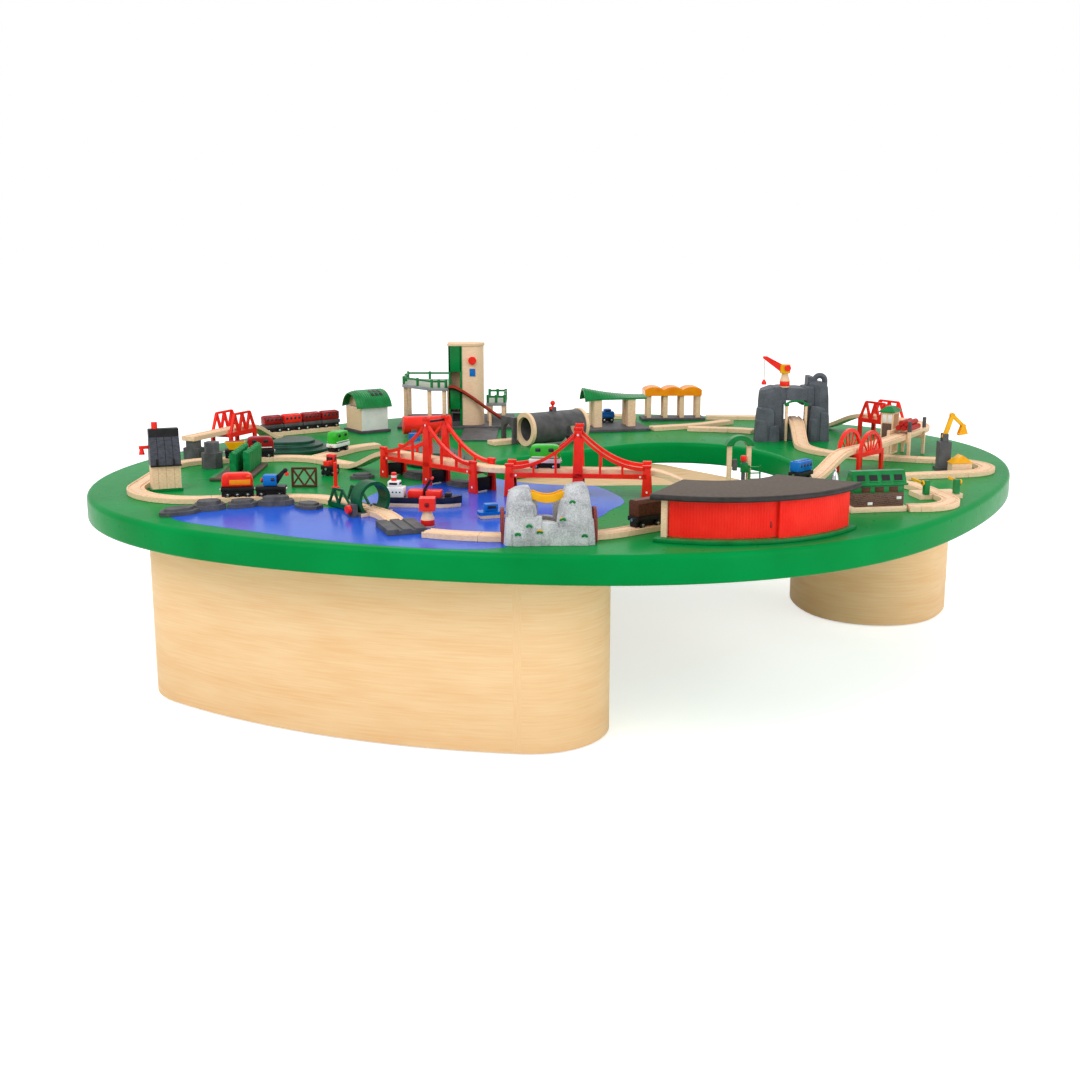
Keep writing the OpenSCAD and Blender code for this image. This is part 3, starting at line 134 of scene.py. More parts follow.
class Shader:
    """Builds the node tree of one finish."""

    GLOSS_SPREAD = 0.07
    RELIEF = 0.6
    COAT_ROUGH = 0.12
    MORTAR = (120, 92, 82)
    MORTAR_W = 0.03

    def __init__(self, finish: Finish) -> None:
        """Start an empty tree for a finish.

        Args:
            finish: the finish to make.
        """
        self.finish = finish
        self.mat = bpy.data.materials.new(finish.name)
        self.mat.use_nodes = True
        self.tree = self.mat.node_tree
        self.bsdf = self.tree.nodes["Principled BSDF"]

    def node(self, kind: str, **values: object) -> bpy.types.Node:
        """Add a node and set its plain attributes.

        Args:
            kind: type name of the node.
            values: attribute values.

        Returns:
            The new node.
        """
        made = self.tree.nodes.new(kind)
        for key, value in values.items():
            setattr(made, key, value)
        return made

    def join(self, out: Socket, into: Socket) -> None:
        """Link two sockets."""
        self.tree.links.new(out, into)

    def coords(self, stretch: tuple[float, float, float], uv: bool = False) -> Socket:
        """Return mapped coordinates.

        Args:
            stretch: scale of the pattern along each axis.
            uv: read the piece's own UV map in place of its object coordinates.

        Returns:
            The vector socket of a Mapping node.
        """
        source = self.node("ShaderNodeTexCoord")
        mapping = self.node("ShaderNodeMapping")
        mapping.inputs["Scale"].default_value = stretch
        mapping.inputs["Rotation"].default_value = (0.0, 0.0, math.radians(-self.finish.turn))
        self.join(source.outputs["UV" if uv else "Object"], mapping.inputs["Vector"])
        return mapping.outputs["Vector"]

    def noise(self, vector: Socket, scale: float, detail: float) -> Socket:
        """Add a noise pattern.

        Args:
            vector: coordinates of the pattern.
            scale: patterns to the metre.
            detail: how many finer patterns lie on it.

        Returns:
            The socket with the height, 0 to 1.
        """
        made = self.node("ShaderNodeTexNoise")
        made.inputs["Scale"].default_value = scale
        made.inputs["Detail"].default_value = detail
        self.join(vector, made.inputs["Vector"])
        return made.outputs["Fac"]

    def ramp(self, factor: Socket, stops: Sequence[tuple[float, Colour]]) -> Socket:
        """Return a colour that follows a factor.

        Args:
            factor: value of 0 to 1.
            stops: places on the ramp and their colours.

        Returns:
            The colour socket.
        """
        made = self.node("ShaderNodeValToRGB")
        elements = made.color_ramp.elements
        for index, (place, colour) in enumerate(stops):
            element = elements[index] if index < 2 else elements.new(place)
            element.position = place
            element.color = linear(colour)
        self.join(factor, made.inputs["Fac"])
        return made.outputs["Color"]

    def paint(self, colour: Socket, height: Socket) -> None:
        """Give the shader its colour, its uneven gloss and its relief.

        Args:
            colour: base colour socket.
            height: socket with the height of the pattern, 0 to 1.
        """
        spread = self.node("ShaderNodeMapRange")
        spread.inputs["To Min"].default_value = max(self.finish.rough - self.GLOSS_SPREAD, 0.05)
        spread.inputs["To Max"].default_value = min(self.finish.rough + self.GLOSS_SPREAD, 1.0)
        self.join(height, spread.inputs["Value"])
        relief = self.node("ShaderNodeBump")
        relief.inputs["Strength"].default_value = self.RELIEF
        relief.inputs["Distance"].default_value = self.finish.bump
        self.join(height, relief.inputs["Height"])
        self.join(colour, self.bsdf.inputs["Base Color"])
        self.join(spread.outputs["Result"], self.bsdf.inputs["Roughness"])
        self.join(relief.outputs["Normal"], self.bsdf.inputs["Normal"])
        self.bsdf.inputs["Coat Weight"].default_value = self.finish.coat
        self.bsdf.inputs["Coat Roughness"].default_value = self.COAT_ROUGH
        self.bsdf.inputs["Specular IOR Level"].default_value = self.finish.shine

    def build(self) -> bpy.types.Material:
        """Make the tree for the finish's grain.

        Returns:
            The material.
        """
        steps = {
            Grain.MOULDED: self.moulded,
            Grain.TIMBER: self.timber,
            Grain.LAMINATE: self.laminate,
            Grain.ROCK: self.rock,
            Grain.LACQUER: self.moulded,
            Grain.BRICK: self.brick,
            Grain.METAL: self.metal,
        }
        steps[self.finish.grain]()
        return self.mat

    def moulded(self) -> None:
        """Soft clouds of the second colour, and the fine skin of a mould or a spray gun."""
        f = self.finish
        base = self.coords((1.0, 1.0, 1.0))
        cloud = self.noise(base, f.scale, 3.0)
        skin = self.noise(base, f.scale * 9.0, 2.0)
        self.paint(self.ramp(cloud, [(0.3, f.second), (0.62, f.colour)]), skin)

    def timber(self) -> None:
        """Fibres of the second colour, drawn out along one direction."""
        f = self.finish
        fibres = self.noise(self.coords((0.12, 1.0, 1.0)), f.scale * 5.0, 5.0)
        self.paint(self.ramp(fibres, [(0.32, f.second), (0.6, f.colour)]), fibres)

    def laminate(self) -> None:
        """Long fibres along the wall with broad paler clouds between them, on the piece's UV map."""
        f = self.finish
        fibres = self.noise(self.coords((0.45, 11.0, 1.0), uv=True), f.scale * 0.35, 6.0)
        cloud = self.noise(self.coords((0.8, 4.0, 1.0), uv=True), f.scale * 0.12, 4.0)
        mix = self.node("ShaderNodeMath", operation="ADD", use_clamp=True)
        for index, pattern in enumerate((fibres, cloud)):
            half = self.node("ShaderNodeMath", operation="MULTIPLY")
            half.inputs[1].default_value = 0.5
            self.join(pattern, half.inputs[0])
            self.join(half.outputs[0], mix.inputs[index])
        self.paint(self.ramp(mix.outputs[0], [(0.36, f.second), (0.62, f.colour)]), fibres)

    def rock(self) -> None:
        """Grey clouds with small pale and dark specks, and a rough relief."""
        f = self.finish
        base = self.coords((1.0, 1.0, 1.0))
        cloud = self.noise(base, f.scale, 6.0)
        speck = self.noise(base, f.scale * 14.0, 2.0)
        mix = self.node("ShaderNodeMath", operation="MULTIPLY_ADD", use_clamp=True)
        mix.inputs[1].default_value = 0.45
        lift = self.node("ShaderNodeMath", operation="MULTIPLY")
        lift.inputs[1].default_value = 0.55
        self.join(speck, mix.inputs[0])
        self.join(cloud, lift.inputs[0])
        self.join(lift.outputs[0], mix.inputs[2])
        self.paint(self.ramp(mix.outputs[0], [(0.36, f.second), (0.6, f.colour)]), mix.outputs[0])

    def brick(self) -> None:
        """Courses of brick on the upright walls, in the second colour with pale joints."""
        f = self.finish
        source = self.node("ShaderNodeTexCoord")
        mapping = self.node("ShaderNodeMapping")
        mapping.inputs["Rotation"].default_value = (math.radians(90.0), 0.0, math.radians(-f.turn))
        self.join(source.outputs["Object"], mapping.inputs["Vector"])
        made = self.node("ShaderNodeTexBrick")
        made.inputs["Color1"].default_value = linear(f.colour)
        made.inputs["Color2"].default_value = linear(f.second)
        made.inputs["Mortar"].default_value = linear(self.MORTAR)
        made.inputs["Scale"].default_value = f.scale
        made.inputs["Mortar Size"].default_value = self.MORTAR_W
        self.join(mapping.outputs["Vector"], made.inputs["Vector"])
        self.paint(made.outputs["Color"], made.outputs["Fac"])

    def metal(self) -> None:
        """Plated metal with a fine brushed skin."""
        f = self.finish
        skin = self.noise(self.coords((1.0, 8.0, 1.0)), f.scale, 4.0)
        self.paint(self.ramp(skin, [(0.3, f.second), (0.65, f.colour)]), skin)
        self.bsdf.inputs["Metallic"].default_value = 1.0


GREEN_LACQUER = Finish(
    "green_lacquer", (0, 142, 66), (0, 130, 58), Grain.LACQUER, 5.0, 0.3, 0.00006, shine=0.035)
LAKE_SHEET = Finish("lake_sheet", (40, 98, 212), (26, 82, 204), Grain.LACQUER, 4.0, 0.2, 0.00003, shine=0.16)
MAPLE = Finish(
    "maple_veneer", (254, 219, 170), (248, 203, 148), Grain.LAMINATE, 60.0, 0.5, 0.00003, shine=0.06)
BOARD = Finish("bare_board", (222, 190, 146), (196, 160, 114), Grain.TIMBER, 30.0, 0.6, 0.0001, shine=0.1)
BEECH = Finish("beech_wood", (246, 214, 180), (232, 192, 152), Grain.TIMBER, 90.0, 0.5, 0.00008, shine=0.12)
BEECH_PALE = Finish(
    "pale_beech", (248, 216, 184), (236, 198, 160), Grain.TIMBER, 90.0, 0.5, 0.00008, shine=0.12)
PLANK_LINE = Finish("plank_line", (190, 138, 92), (170, 118, 76), Grain.TIMBER, 90.0, 0.6, 0.00008, shine=0.1)
ZINC = Finish("zinc_plate", (200, 202, 206), (160, 162, 168), Grain.METAL, 120.0, 0.35, 0.00002)
CHROME = Finish("bright_hub", (222, 222, 224), (190, 190, 194), Grain.METAL, 200.0, 0.18, 0.00001)
PLATE_GREY = Finish("plate_grey", (92, 92, 94), (72, 72, 74), Grain.MOULDED, 40.0, 0.55, 0.0001)
DECK_EDGE = Finish("deck_edge", (158, 160, 164), (140, 142, 146), Grain.MOULDED, 40.0, 0.55, 0.0001)
DECK_GREY = Finish("deck_floor", (176, 182, 166), (158, 164, 148), Grain.MOULDED, 40.0, 0.6, 0.0001)
SLATE = Finish("shore_slate", (98, 98, 100), (66, 66, 68), Grain.ROCK, 40.0, 0.62, 0.0006)
MOUNTAIN = Finish("mountain_grey", (94, 100, 108), (70, 76, 84), Grain.ROCK, 30.0, 0.55, 0.0003)
PALE_ROCK = Finish(
    "speckled_rock", (204, 206, 208), (146, 148, 152), Grain.ROCK, 26.0, 0.68, 0.0008, shine=0.15)
HILL = Finish("hill_enamel", (16, 78, 58), (4, 52, 38), Grain.MOULDED, 30.0, 0.36, 0.0003, shine=0.3)
HEDGE = Finish("hedge_green", (0, 146, 76), (0, 104, 50), Grain.ROCK, 90.0, 0.5, 0.0006)
BED_BROWN = Finish("bed_brown", (104, 88, 72), (84, 70, 58), Grain.TIMBER, 60.0, 0.6, 0.0002)
RED = Finish("toy_red", (252, 46, 30), (238, 32, 20), Grain.MOULDED, 40.0, 0.34, 0.00006, 0.05)
DEEP_RED = Finish("deep_red", (164, 18, 24), (136, 8, 14), Grain.MOULDED, 40.0, 0.3, 0.00006, 0.1)
SHED_RED = Finish("shed_red", (255, 48, 34), (248, 38, 26), Grain.LACQUER, 30.0, 0.45, 0.00005, shine=0.1)
SLIDE_RED = Finish("slide_red", (178, 62, 46), (156, 48, 34), Grain.MOULDED, 40.0, 0.4, 0.00006)
LOG_RED = Finish("log_red", (198, 40, 30), (150, 22, 18), Grain.TIMBER, 120.0, 0.45, 0.0003)
TOY_GREEN = Finish("toy_green", (0, 130, 62), (0, 110, 48), Grain.MOULDED, 40.0, 0.34, 0.00006, 0.05)
DARK_GREEN = Finish("bridge_green", (0, 92, 54), (0, 70, 38), Grain.MOULDED, 40.0, 0.36, 0.00006)
BRIGHT_GREEN = Finish("bright_green", (58, 190, 50), (36, 164, 34), Grain.MOULDED, 40.0, 0.3, 0.00006, 0.1)
YELLOW = Finish("toy_yellow", (252, 186, 6), (240, 164, 0), Grain.MOULDED, 40.0, 0.34, 0.00006, 0.05)
ORANGE = Finish("toy_orange", (254, 158, 6), (246, 136, 0), Grain.MOULDED, 40.0, 0.26, 0.00006, 0.2)
BLUE = Finish("toy_blue", (16, 116, 204), (2, 94, 182), Grain.MOULDED, 40.0, 0.32, 0.00006, 0.05)
NAVY = Finish("hull_navy", (34, 42, 66), (24, 30, 50), Grain.MOULDED, 40.0, 0.34, 0.00006)
BLACK = Finish("toy_black", (32, 32, 34), (20, 20, 22), Grain.MOULDED, 60.0, 0.4, 0.00006)
GLASS = Finish("dark_window", (34, 44, 52), (22, 28, 36), Grain.MOULDED, 60.0, 0.16, 0.00002, shine=0.5)
WHITE = Finish("toy_white", (240, 240, 238), (228, 228, 226), Grain.MOULDED, 40.0, 0.4, 0.00006)
ROOF_SLATE = Finish("roof_slate", (76, 78, 88), (56, 58, 66), Grain.TIMBER, 60.0, 0.5, 0.0003, turn=21.0)
SHED_ROOF = Finish("shed_roof", (104, 94, 86), (90, 80, 73), Grain.ROCK, 120.0, 0.75, 0.0002, shine=0.12)
ROOF_EDGE = Finish("roof_edge", (52, 49, 48), (40, 38, 37), Grain.MOULDED, 60.0, 0.5, 0.0001)
DARK_WOOD = Finish("dark_wood", (96, 54, 36), (72, 38, 24), Grain.TIMBER, 60.0, 0.48, 0.0001)
BRICK_RED = Finish("portal_brick", (160, 48, 50), (134, 36, 40), Grain.BRICK, 60.0, 0.6, 0.0003, turn=93.0)
BRICK_BROWN = Finish("wall_brick", (110, 76, 66), (86, 58, 50), Grain.BRICK, 55.0, 0.6, 0.0003, turn=10.0)
BRICK_PIER = Finish("tower_brick", (112, 84, 70), (92, 66, 56), Grain.BRICK, 70.0, 0.6, 0.0003, turn=56.0)
STRING = Finish("twisted_string", (226, 222, 210), (190, 186, 174), Grain.TIMBER, 900.0, 0.8, 0.0001)


@dataclass(frozen=True)
class Place:
    """Where a toy stands on the table, in millimetres, with its heading in degrees."""

    x: float
    y: float
    heading: float = 0.0
    z: float = 0.0

    def axes(self) -> tuple[float, float]:
        """Return the cosine and sine of the heading."""
        return math.cos(math.radians(self.heading)), math.sin(math.radians(self.heading))

    def world(self, points: Array) -> Array:
        """Turn toy millimetres into frame metres.

        Args:
            points: array of (…, 3) in the toy's own axes.

        Returns:
            The same points in the frame.
        """
        c, s = self.axes()
        p = np.asarray(points, float)
        x = self.x + c * p[..., 0] - s * p[..., 1]
        y = self.y + s * p[..., 0] + c * p[..., 1]
        return np.stack([x, y, TABLE_H + self.z + p[..., 2]], axis=-1) * MM

    def local(self, points: Array) -> Array:
        """Turn frame metres into toy millimetres, the reverse of world.

        Args:
            points: array of (…, 3) in the frame.

        Returns:
            The same points in the toy's own axes.
        """
        c, s = self.axes()
        p = np.asarray(points, float) / MM
        dx = p[..., 0] - self.x
        dy = p[..., 1] - self.y
        return np.stack([c * dx + s * dy, c * dy - s * dx, p[..., 2] - TABLE_H - self.z], axis=-1)


BRIDGE_1 = Place(-321.5, -282.4, -43)
BRIDGE_2 = Place(12, -430.8, -5)
ARCH = Place(723.1, -103.6, 48)
BASCULE = Place(-454, -623.5, -50)
MILL = Place(-944, -365, 21)
STATION = Place(-592, 599, 36)
PLATFORM = Place(645, -612, 10)
GARAGE = Place(-330, 690, 0)
CANOPY = Place(145, 660, 12)
ORANGE_STOP = Place(345, 862, 4)
TANK = Place(-405, 492, 14)
LOG_TUNNEL = Place(-40, 352, 34)
SHED = Place(283, -622, 0)
GANTRY = Place(382, -383, 98)
SIGNAL = Place(-552, -352, 0)
BLUE_CRATE = Place(-432, 372, 20)
LATTICE = Place(-628, -332, 0)
PIER = Place(899.7, 135.3, 56)
CROSSING = Place(819.2, -453.2, 100)
HUT = Place(968, -128, 8)
PEAKS = Place(-55, -903, 3)
MOUNTAIN_AT = Place(645, 430, 0)
HEDGES = Place(-820, -143, 90)
CRANE = Place(621, 425, 180)
HARBOUR = Place(-304, -780, 0)
FREIGHTER = Place(-333, -562, -7)
BOAT = Place(-168, -680, 20)
METRO = Place(-884, 474, 38)
TIPPER = Place(-865, 27, 13)
FARM_ENGINE = Place(-803, 41, 13)
BRANCH_ENGINE = Place(-615.3, 145.4, 66)
DECK_ENGINE = Place(-63.7, -424.2, -5)
COAL_ENGINE = Place(136, -821.4, 38)
BLUE_WAGON = Place(540, -306.5, 48)
CANOPY_CAR = Place(131, 738, 10)
TRACTOR = Place(-592, -168, 250)
BEND_MIDDLE = (-647.0, -1099.0)
BEND_R = 600.0
WAGON_HEADING = 2.6
ENGINE_HEADING = 9.6
RUNNING_LIFT = 0.15
CRANE_FOOT_LOW = 150.0
CRANE_FOOT_H = 40.0
HARBOUR_FOOT_H = 34.0
GRIP_R = 311.8
GRIP_TURN = 286.5
SHARP_EDGE = 38.0
MERGE = 0.000005
WIDE = (-4000.0, 4000.0)
Span = tuple[float, float]


def zone(place: Place, x: Span = WIDE, y: Span = WIDE, z: Span = WIDE) -> Mask:
    """Return a test for faces whose middle lies in a box on a toy.

    Args:
        place: the toy's place.
        x: lowest and highest length along the toy, in millimetres.
        y: lowest and highest length across it.
        z: lowest and highest height on it.

    Returns:
        A function from face middles in the frame to a mask.
    """

    def test(middles: Array) -> Array:
        """Say which face middles lie in the box."""
        p = place.local(middles)
        inside = np.ones(len(p), bool)
        for axis, (low, high) in enumerate((x, y, z)):
            inside &= (p[:, axis] > low) & (p[:, axis] < high)
        return inside

    return test


def around_x(place: Place, height: float, radius: float, x: Span) -> Mask:
    """Return a test for faces within a radius of an axis along a toy.

    Args:
        place: the toy's place.
        height: height of the axis, in millimetres.
        radius: largest distance from the axis.
        x: lowest and highest length along the toy.

    Returns:
        A function from face middles in the frame to a mask.
    """

    def test(middles: Array) -> Array:
        """Say which face middles lie near the axis."""
        p = place.local(middles)
        near = np.hypot(p[:, 1], p[:, 2] - height) < radius
        return near & (p[:, 0] > x[0]) & (p[:, 0] < x[1])

    return test


@dataclass
class CarriedNode:
    """A node of the frame that keeps its form, with its edges eased and its colours painted.

    Attributes:
        node: name of the node.
        body: body that it rides on.
        base: finish of all faces that no coat covers.
        coats: finishes with the test for the faces they cover, later ones on top.
        ease: width of the eased edges, in millimetres, or 0 to keep the node itself.
        keep: tests for the faces that the eased copy keeps, or nothing to keep all.
        drop: tests for the faces that the eased copy leaves out.
    """

    node: str
    body: str
    base: Finish
    coats: list[tuple[Finish, Mask]] = field(default_factory=list)
    ease: float = 0.8
    keep: list[Mask] = field(default_factory=list)
    drop: list[Mask] = field(default_factory=list)

    def build(self, nodes: dict[str, Piece]) -> Piece:
        """Dress the node.

        Args:
            nodes: the frame's objects by name.

        Returns:
            The object that shows the node.
        """
        source = nodes[self.node]
        shown = source
        if self.ease > 0:
            shown = self.eased_copy(source)
        self.paint(shown)
        return shown

    def eased_copy(self, source: Piece) -> Piece:
        """Make a merged copy of the node with a narrow bevel on its sharp edges.

        Args:
            source: the node's own object.

        Returns:
            The copy.
        """
        mesh = source.data.copy()
        mesh.name = self.node + "_eased"
        work = bmesh.new()
        work.from_mesh(mesh)
        bmesh.ops.remove_doubles(work, verts=work.verts, dist=MERGE)
        middles = np.array([face.calc_center_median() for face in work.faces])
        gone = np.zeros(len(middles), bool)
        if self.keep:
            gone = ~np.any([test(middles) for test in self.keep], axis=0)
        for test in self.drop:
            gone |= test(middles)
        unwanted = [face for face, out in zip(list(work.faces), gone) if out]
        bmesh.ops.delete(work, geom=unwanted, context="FACES")
        bmesh.ops.dissolve_limit(work, angle_limit=math.radians(1.0), verts=work.verts, edges=work.edges)
        work.to_mesh(mesh)
        work.free()
        shown = bpy.data.objects.new(self.node + "_eased", mesh)
        bpy.context.scene.collection.objects.link(shown)
        bevel = shown.modifiers.new("eased_edges", "BEVEL")
        bevel.width = self.ease * MM
        bevel.segments = 2
        bevel.limit_method = "ANGLE"
        bevel.angle_limit = math.radians(SHARP_EDGE)
        bevel.harden_normals = False
        bevel.use_clamp_overlap = True
        mesh.shade_smooth()
        mesh.set_sharp_from_angle(angle=math.radians(SHARP_EDGE))
        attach(shown, self.body)
        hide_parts(self.node)
        return shown

    def paint(self, shown: Piece) -> None:
        """Give each face of the shown object the finish of the last coat that covers it.

        Args:
            shown: the object to paint.
        """
        mesh = shown.data
        mesh.materials.clear()
        count = len(mesh.polygons)
        middles = np.empty(count * 3, np.float32)
        mesh.polygons.foreach_get("center", middles)
        middles = middles.reshape(-1, 3)
        index = np.zeros(count, np.int32)
        finishes = [self.base]
        for finish, covers in self.coats:
            if finish not in finishes:
                finishes.append(finish)
            index[covers(middles)] = finishes.index(finish)
        for finish in finishes:
            mesh.materials.append(finish.material())
        mesh.polygons.foreach_set("material_index", index)
        mesh.update()


class Workpiece:
    """One new piece: skins lofted over rings of points, each with its finish."""

    def __init__(self, name: str, body: str, place: Place = Place(0, 0, 0, -TABLE_H)) -> None:
        """Start an empty piece.

        Args:
            name: name of the piece.
            body: body that it rides on.
            place: the axes that its rings are given in.
        """
        self.name = name
        self.body = body
        self.place = place
        self.points: list[Array] = []
        self.faces: list[tuple[int, ...]] = []
        self.marks: list[int] = []
        self.uvs: list[Array] = []
        self.finishes: list[Finish] = []
        self.count = 0

    def loft(
        self, rings: Array, finish: Finish, caps: bool = True, loop: bool = False, uv: Array | None = None
    ) -> None:
        """Add the skin over a row of closed rings.

        Args:
            rings: array of (rings, points, 3) in the piece's axes, in millimetres.
            finish: finish of the skin.
            caps: close the first and the last ring.
            loop: join the last ring to the first.
            uv: array of (rings, points, 2) with the pattern's coordinates in metres.
        """
        rings = np.asarray(rings, float)
        rows, cols = rings.shape[:2]
        if finish not in self.finishes:
            self.finishes.append(finish)
        mark = self.finishes.index(finish)
        start = self.count
        ids = start + np.arange(rows * cols).reshape(rows, cols)
        here = ids if loop else ids[:-1]
        there = np.roll(ids, -1, axis=0) if loop else ids[1:]
        corners = [here, np.roll(here, -1, axis=1), np.roll(there, -1, axis=1), there]
        quads = np.stack(corners, axis=-1).reshape(-1, 4)
        self.faces.extend(map(tuple, quads.tolist()))
        added = len(quads)
        if caps and not loop:
            self.faces.append(tuple(ids[0][::-1].tolist()))
            self.faces.append(tuple(ids[-1].tolist()))
            added += 2
        self.marks.extend([mark] * added)
        self.points.append(self.place.world(rings.reshape(-1, 3)))
        flat = np.zeros((rows * cols, 2)) if uv is None else np.asarray(uv, float).reshape(-1, 2)
        self.uvs.append(flat)
        self.count += rows * cols

    def block(
        self, middle: Sequence[float], size: Sequence[float], finish: Finish, ease: float = 1.0
    ) -> None:
        """Add a box with rounded edges, as a rounded rectangle carried up through eased rings.

        Args:
            middle: middle of the box.
            size: length, width and height.
            finish: its finish.
            ease: radius of its edges.
        """
        ease = min(ease, *(0.45 * s for s in size))
        turn = np.linspace(0, math.pi / 2, 3)
        inset = np.concatenate([ease * (1 - np.sin(turn)), ease * (1 - np.cos(turn))])
        rise = np.concatenate([ease * (1 - np.cos(turn)), size[2] - ease + ease * np.sin(turn)])
        low = middle[2] - size[2] / 2
        rings = []
        for cut, up in zip(inset, rise):
            ring = rounded_rectangle(size[0] - 2 * cut, size[1] - 2 * cut, max(ease - cut, 0.02))
            rings.append(np.column_stack([ring + np.asarray(middle[:2]), np.full(len(ring), low + up)]))
        self.loft(np.array(rings), finish)

    def turned(self, profile: Sequence[tuple[float, float]], middle: Sequence[float], finish: Finish,
               axis: str = "z", sides: int = 32) -> None:
        """Add a turned form: a profile of radius and height carried round an axis.

        Args:
            profile: pairs of radius and distance along the axis.
            middle: where the axis starts.
            finish: its finish.
            axis: x, y or z.
            sides: points round the axis.
        """
        turn = np.linspace(0, 2 * math.pi, sides, endpoint=False)
        shape = np.asarray(profile, float)
        radius = np.maximum(shape[:, :1], 0.01)
        along = np.repeat(shape[:, 1:], sides, axis=1)
        ring = np.stack([radius * np.cos(turn), radius * np.sin(turn), along], axis=-1)
        order = {"z": [0, 1, 2], "x": [2, 0, 1], "y": [1, 2, 0]}[axis]
        self.loft(ring[..., order] + np.asarray(middle, float), finish)

    def tube(self, path: Array, radius: float, finish: Finish, sides: int = 12) -> None:
        """Add a round bar along a path: a circle carried along it, square to its direction.

        Args:
            path: array of (points, 3).
            radius: radius of the bar.
            finish: its finish.
            sides: points round the bar.
        """
        path = np.asarray(path, float)
        ahead = np.gradient(path, axis=0)
        ahead /= np.linalg.norm(ahead, axis=1, keepdims=True)
        helper = np.array([0.0, 0.0, 1.0]) if abs(ahead[:, 2]).max() < 0.95 else np.array([0.0, 1.0, 0.0])
        side = np.cross(helper, ahead)
        side /= np.linalg.norm(side, axis=1, keepdims=True)
        up = np.cross(ahead, side)
        turn = np.linspace(0, 2 * math.pi, sides, endpoint=False)[None, :, None]
        rings = path[:, None] + radius * (np.cos(turn) * side[:, None] + np.sin(turn) * up[:, None])
        self.loft(rings, finish)

    def slab(
        self, outline: Array, low: float, high: float, finish: Finish, ease: float = 1.0, axis: str = "z"
    ) -> None:
        """Add a flat slab: an outline carried from low to high, with eased edges drawn towards its middle.

        Args:
            outline: array of (points, 2), anticlockwise.
            low: where the slab starts along the axis.
            high: where it ends.
            finish: its finish.
            ease: radius of its edges.
            axis: x, y or z, the direction that the slab is thick in.
        """
        outline = np.asarray(outline, float)
        middle = outline.mean(axis=0)
        reach = np.abs(outline - middle).max()
        turn = np.linspace(0, math.pi / 2, 3)
        shrink = 1 - np.concatenate([ease * (1 - np.sin(turn)), ease * (1 - np.cos(turn))]) / reach
        along = np.concatenate([low + ease * (1 - np.cos(turn)), high - ease + ease * np.sin(turn)])
        rings = middle + shrink[:, None, None] * (outline - middle)
        rings = np.concatenate([rings, np.repeat(along[:, None, None], len(outline), axis=1)], axis=2)
        order = {"z": [0, 1, 2], "y": [0, 2, 1], "x": [2, 0, 1]}[axis]
        self.loft(rings[..., order], finish)

    def build(self, smooth_angle: float = 40.0, ease: float = 0.0) -> Piece:
        """Make the mesh object, with its faces turned outwards, and let it ride on its body.

        Args:
            smooth_angle: edges sharper than this stay sharp, in degrees.
            ease: width of a bevel on those edges, in millimetres.

        Returns:
            The new object.
        """
        mesh = bpy.data.meshes.new(self.name)
        mesh.from_pydata(np.concatenate(self.points).tolist(), [], self.faces)
        for finish in self.finishes:
            mesh.materials.append(finish.material())
        mesh.polygons.foreach_set("material_index", np.asarray(self.marks, np.int32))
        corners = np.empty(len(mesh.loops), np.int32)
        mesh.loops.foreach_get("vertex_index", corners)
        layer = mesh.uv_layers.new(name="pattern")
        layer.data.foreach_set("uv", np.concatenate(self.uvs)[corners].astype(np.float32).ravel())
        work = bmesh.new()
        work.from_mesh(mesh)
        bmesh.ops.recalc_face_normals(work, faces=work.faces)
        work.to_mesh(mesh)
        work.free()
        mesh.shade_smooth()
        mesh.set_sharp_from_angle(angle=math.radians(smooth_angle))
        made = bpy.data.objects.new(self.name, mesh)
        bpy.context.scene.collection.objects.link(made)
        if ease > 0:
            bevel = made.modifiers.new("eased_edges", "BEVEL")
            bevel.width = ease * MM
            bevel.segments = 3
            bevel.limit_method = "ANGLE"
            bevel.angle_limit = math.radians(smooth_angle)
        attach(made, self.body)
        return made


def across_rings(edge: Array, distances: Sequence[float]) -> Array:
    """Return rings of an outline of length and height, one at each distance across."""
    return np.stack([
        np.column_stack([edge[:, 0], np.full(len(edge), distance), edge[:, 1]]) for distance in distances])


def strip_edge(x: Array, lower: Array, upper: Array) -> Array:
    """Return the closed outline between a lower and an upper line over the same lengths."""
    return np.concatenate([np.column_stack([x, lower]), np.column_stack([x, upper])[::-1]])


def rounded_rectangle(length: float, width: float, radius: float, steps: int = 3) -> Array:
    """Draw a rectangle with round corners, each a quarter circle.

    Args:
        length: its length.
        width: its width.
        radius: radius of its corners.
        steps: straight steps to each corner.

    Returns:
        Its outline of (points, 2), anticlockwise about its middle.
    """
    turn = np.linspace(0, math.pi / 2, steps + 1)
    corners = []
    for quarter, (sx, sy) in enumerate(((1, 1), (-1, 1), (-1, -1), (1, -1))):
        a = turn + quarter * math.pi / 2
        mid = np.array([sx * (length / 2 - radius), sy * (width / 2 - radius)])
        corners.append(mid + radius * np.column_stack([np.cos(a), np.sin(a)]))
    return np.concatenate(corners)


